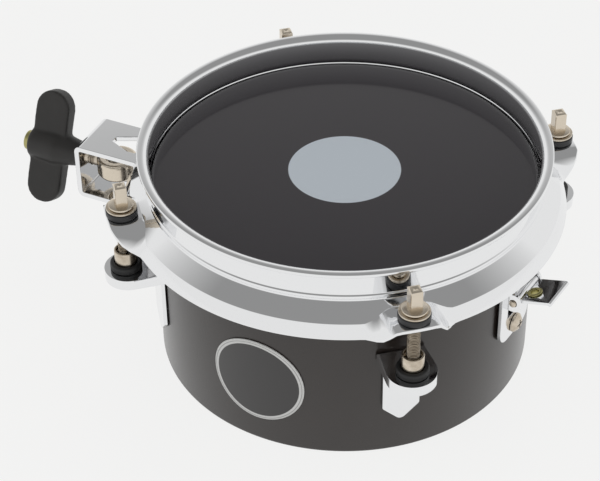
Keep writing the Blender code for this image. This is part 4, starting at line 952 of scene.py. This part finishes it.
def snarePieces(finishes):
    snare = {
        "strands": 10, "turns": 90.0, "tilt": 0.034973,
        **inMetres({
            "spacing": 2.5, "coil": 0.85, "wire": 0.25, "start": 12.1, "end": 175.6, "level": 2.8,
            "axis": -91.1, "axisLevel": -4.7,
        }),
    }
    plate = inMetres({
        "near": 4.1, "nearHole": 8.1, "far": 163.6, "farHole": 179.6, "long": 20, "half": 13.2, "low": 1.3,
        "high": 2.1, "hole": 1.8, "softEdge": 0.15,
    })
    tilt = turnedBy(strainerTurn, (snare["axis"], 0, snare["axisLevel"]), snare["tilt"])
    coils = meshObject("snareCoils", bmesh.new())
    runTree(coils, coilsTree(), {
        "Strands": snare["strands"], "Spacing": snare["spacing"], "Turns": snare["turns"],
        "Coil Radius": snare["coil"], "Wire Radius": snare["wire"], "Length": snare["end"] - snare["start"],
        "Finish": finishes["steel"].material,
    })
    side = -(snare["strands"] - 1) / 2 * snare["spacing"]
    coils.data.transform(tilt @ Matrix.Translation((snare["start"], side, snare["level"])))
    coils.data.shade_smooth()
    finishPiece(coils, finishes["steel"], "carrier", ["snare_wires"])
    for end in ("near", "far"):
        low = plate[end]
        corner = (low + plate["long"], plate["half"], plate["high"])
        bar = blockMesh((low, -plate["half"], plate["low"]), corner)
        hole = barMesh("Z", plate["hole"], 0, 4 * mm, (plate[end + "Hole"], 0), 24)
        piece = shapePiece(end + "SolderPlate", bar, tilt, cuts=[hole], bevel=plate["softEdge"])
        finishPiece(piece, finishes["brass"], "carrier")
    print("snares made")


def dressPlainNodes(finishes):
    looks = {
        "bracket_screw_1": "steel", "bracket_screw_2": "steel", "strainer_nut": "steel",
        "snare_carrier": "steel", "snare_screw_1": "nickel", "snare_screw_2": "nickel",
        "butt_bracket": "steel", "butt_pin": "nickel", "butt_screw": "nickel", "butt_nut": "steel",
    }
    for node, look in looks.items():
        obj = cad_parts[node]
        obj.data.materials.clear()
        obj.data.materials.append(finishes[look].material)
    print("plain nodes dressed")


def makeFloor():
    floor = {
        "half": 6.0, "level": -0.1094, "color": (0.88, 0.88, 0.875), "roughness": 0.7,
        "glow": (0.93, 0.93, 0.925), "share": 0.9,
    }
    half = floor["half"]
    mesh = bpy.data.meshes.new("studioFloor")
    spots = [(x, y, floor["level"]) for x, y in rectLine(-half, -half, half, half)]
    mesh.from_pydata(spots, [], [(0, 1, 2, 3)])
    finish = Finish("paleFloor", floor["color"], floor["roughness"])
    camera, glossy = (
        finish.add("ShaderNodeLightPath", {}, {}, out=ray) for ray in ("Is Camera Ray", "Is Glossy Ray")
    )
    plain = Wire(finish, finish.shader.outputs[0])
    glow = finish.add("ShaderNodeEmission", {}, {"Color": (*floor["glow"], 1), "Strength": 1.0})
    mixed = finish.add("ShaderNodeMixShader", {}, {0: (camera + glossy) * floor["share"], 1: plain, 2: glow})
    finish.put(finish.nodes["Material Output"], {"Surface": mixed})
    mesh.materials.append(finish.material)
    looseObject("studioFloor", mesh)


def makeLamp(name, place, size, power):
    light = bpy.data.lights.new(name, "AREA")
    light.shape, light.size, light.size_y, light.energy = "RECTANGLE", size[0], size[1], power
    lamp = looseObject(name, light)
    lamp.location = place
    lamp.rotation_euler = (-Vector(place)).to_track_quat("-Z", "Y").to_euler()
    lamp.visible_glossy = False  # no white squares in the chrome


def makeAir():  # bright near the horizon, darker above, and plain pale for the camera
    air = {"color": (0.915, 0.915, 0.91), "low": 0.4, "high": 0.68, "horizon": 0.95, "zenith": 0.34}
    world = bpy.data.worlds.new("studioAir")
    bpy.context.scene.world = world
    world.use_nodes = True
    graph = Graph(world.node_tree)
    way = graph.add("ShaderNodeTexCoord", {}, {}, out="Generated")
    height = graph.add("ShaderNodeSeparateXYZ", {}, {0: way}, out="Z")
    sky = graph.add("ShaderNodeMapRange", {}, {
        "Value": height, "From Min": air["low"], "From Max": air["high"], "To Min": air["horizon"],
        "To Max": air["zenith"],
    })
    seen = graph.add("ShaderNodeLightPath", {}, {}, out="Is Camera Ray")
    level = graph.add("ShaderNodeMapRange", {}, {"Value": seen, "To Min": sky, "To Max": 1.0})
    graph.put(graph.nodes["Background"], {"Color": (*air["color"], 1), "Strength": level})


def makeStudio():
    lamps = {  # place, width and height, watts
        "keyLamp": ((-1.2, -1.3, 1.9), (1.6, 1.6), 7),
        "fillLamp": ((1.9, -0.2, 0.8), (1.0, 1.2), 4),
        "topLamp": ((0.2, 0.9, 2.1), (1.6, 1.0), 5),
        "frontLamp": ((1.0, -1.85, 0.85), (3.4, 0.8), 4),
    }
    makeFloor()
    for name, (place, size, power) in lamps.items():
        makeLamp(name, place, size, power)
    makeAir()
    bpy.context.scene.view_settings.view_transform = "Standard"


def makeCamera():
    shot = {
        "place": (0.3847, -0.7056, 0.5874), "along": (-0.39596, 0.67708, -0.62030), "lens": 112.93,
        "roll": math.radians(-0.81),
    }
    data = bpy.data.cameras.new("photoCamera")
    data.lens, data.sensor_width, data.sensor_fit = shot["lens"], 36, "HORIZONTAL"
    camera = looseObject("photoCamera", data)
    look = Vector(shot["along"]).to_track_quat("-Z", "Y").to_matrix().to_4x4()
    camera.matrix_world = Matrix.Translation(shot["place"]) @ look @ Matrix.Rotation(shot["roll"], 4, "Z")
    bpy.context.scene.camera = camera


def makeFinishes():
    outward = (math.cos(bracketTurn), math.sin(bracketTurn), 0)
    return {
        "chrome": chromeFinish(), "nickel": nickelFinish(), "paint": paintFinish(), "film": filmFinish(),
        "badge": badgeFinish(),
        "rodThread": threadedFinish("rodThread", (0, 0, -1), 6 * mm, 1.0 * mm),
        "eyeThread": threadedFinish("eyeThread", outward, 153.5 * mm, 1.25 * mm),
        "aluminium": metalFinish("hoopAluminium", (0.75, 0.75, 0.76), 0.35),
        "steel": metalFinish("zincSteel", (0.62, 0.62, 0.6), 0.32),
        "brass": metalFinish("dullBrass", (0.5, 0.46, 0.2), 0.34),
        "nylon": mouldedFinish("blackNylon", (0.015, 0.015, 0.016), 0.4, 1.0 * mm, 0.02 * mm),
        "rubber": mouldedFinish("blackRubber", (0.011, 0.011, 0.011), 0.5, 1.2 * mm, 0.04 * mm),
        "plastic": mouldedFinish("blackPlastic", (0.014, 0.013, 0.012), 0.48, 0.6 * mm, 0.05 * mm),
    }


finishes = makeFinishes()
copies = copiesTree()
shellPiece(finishes)
headPieces(finishes)
rimPiece(finishes)
rodPieces(finishes, threadTree())
lugPieces(finishes, copies)
badgePiece(finishes)
clampPieces(finishes)
strainerPieces(finishes)
snarePieces(finishes)
dressPlainNodes(finishes)
makeStudio()
makeCamera()

print("scene done")
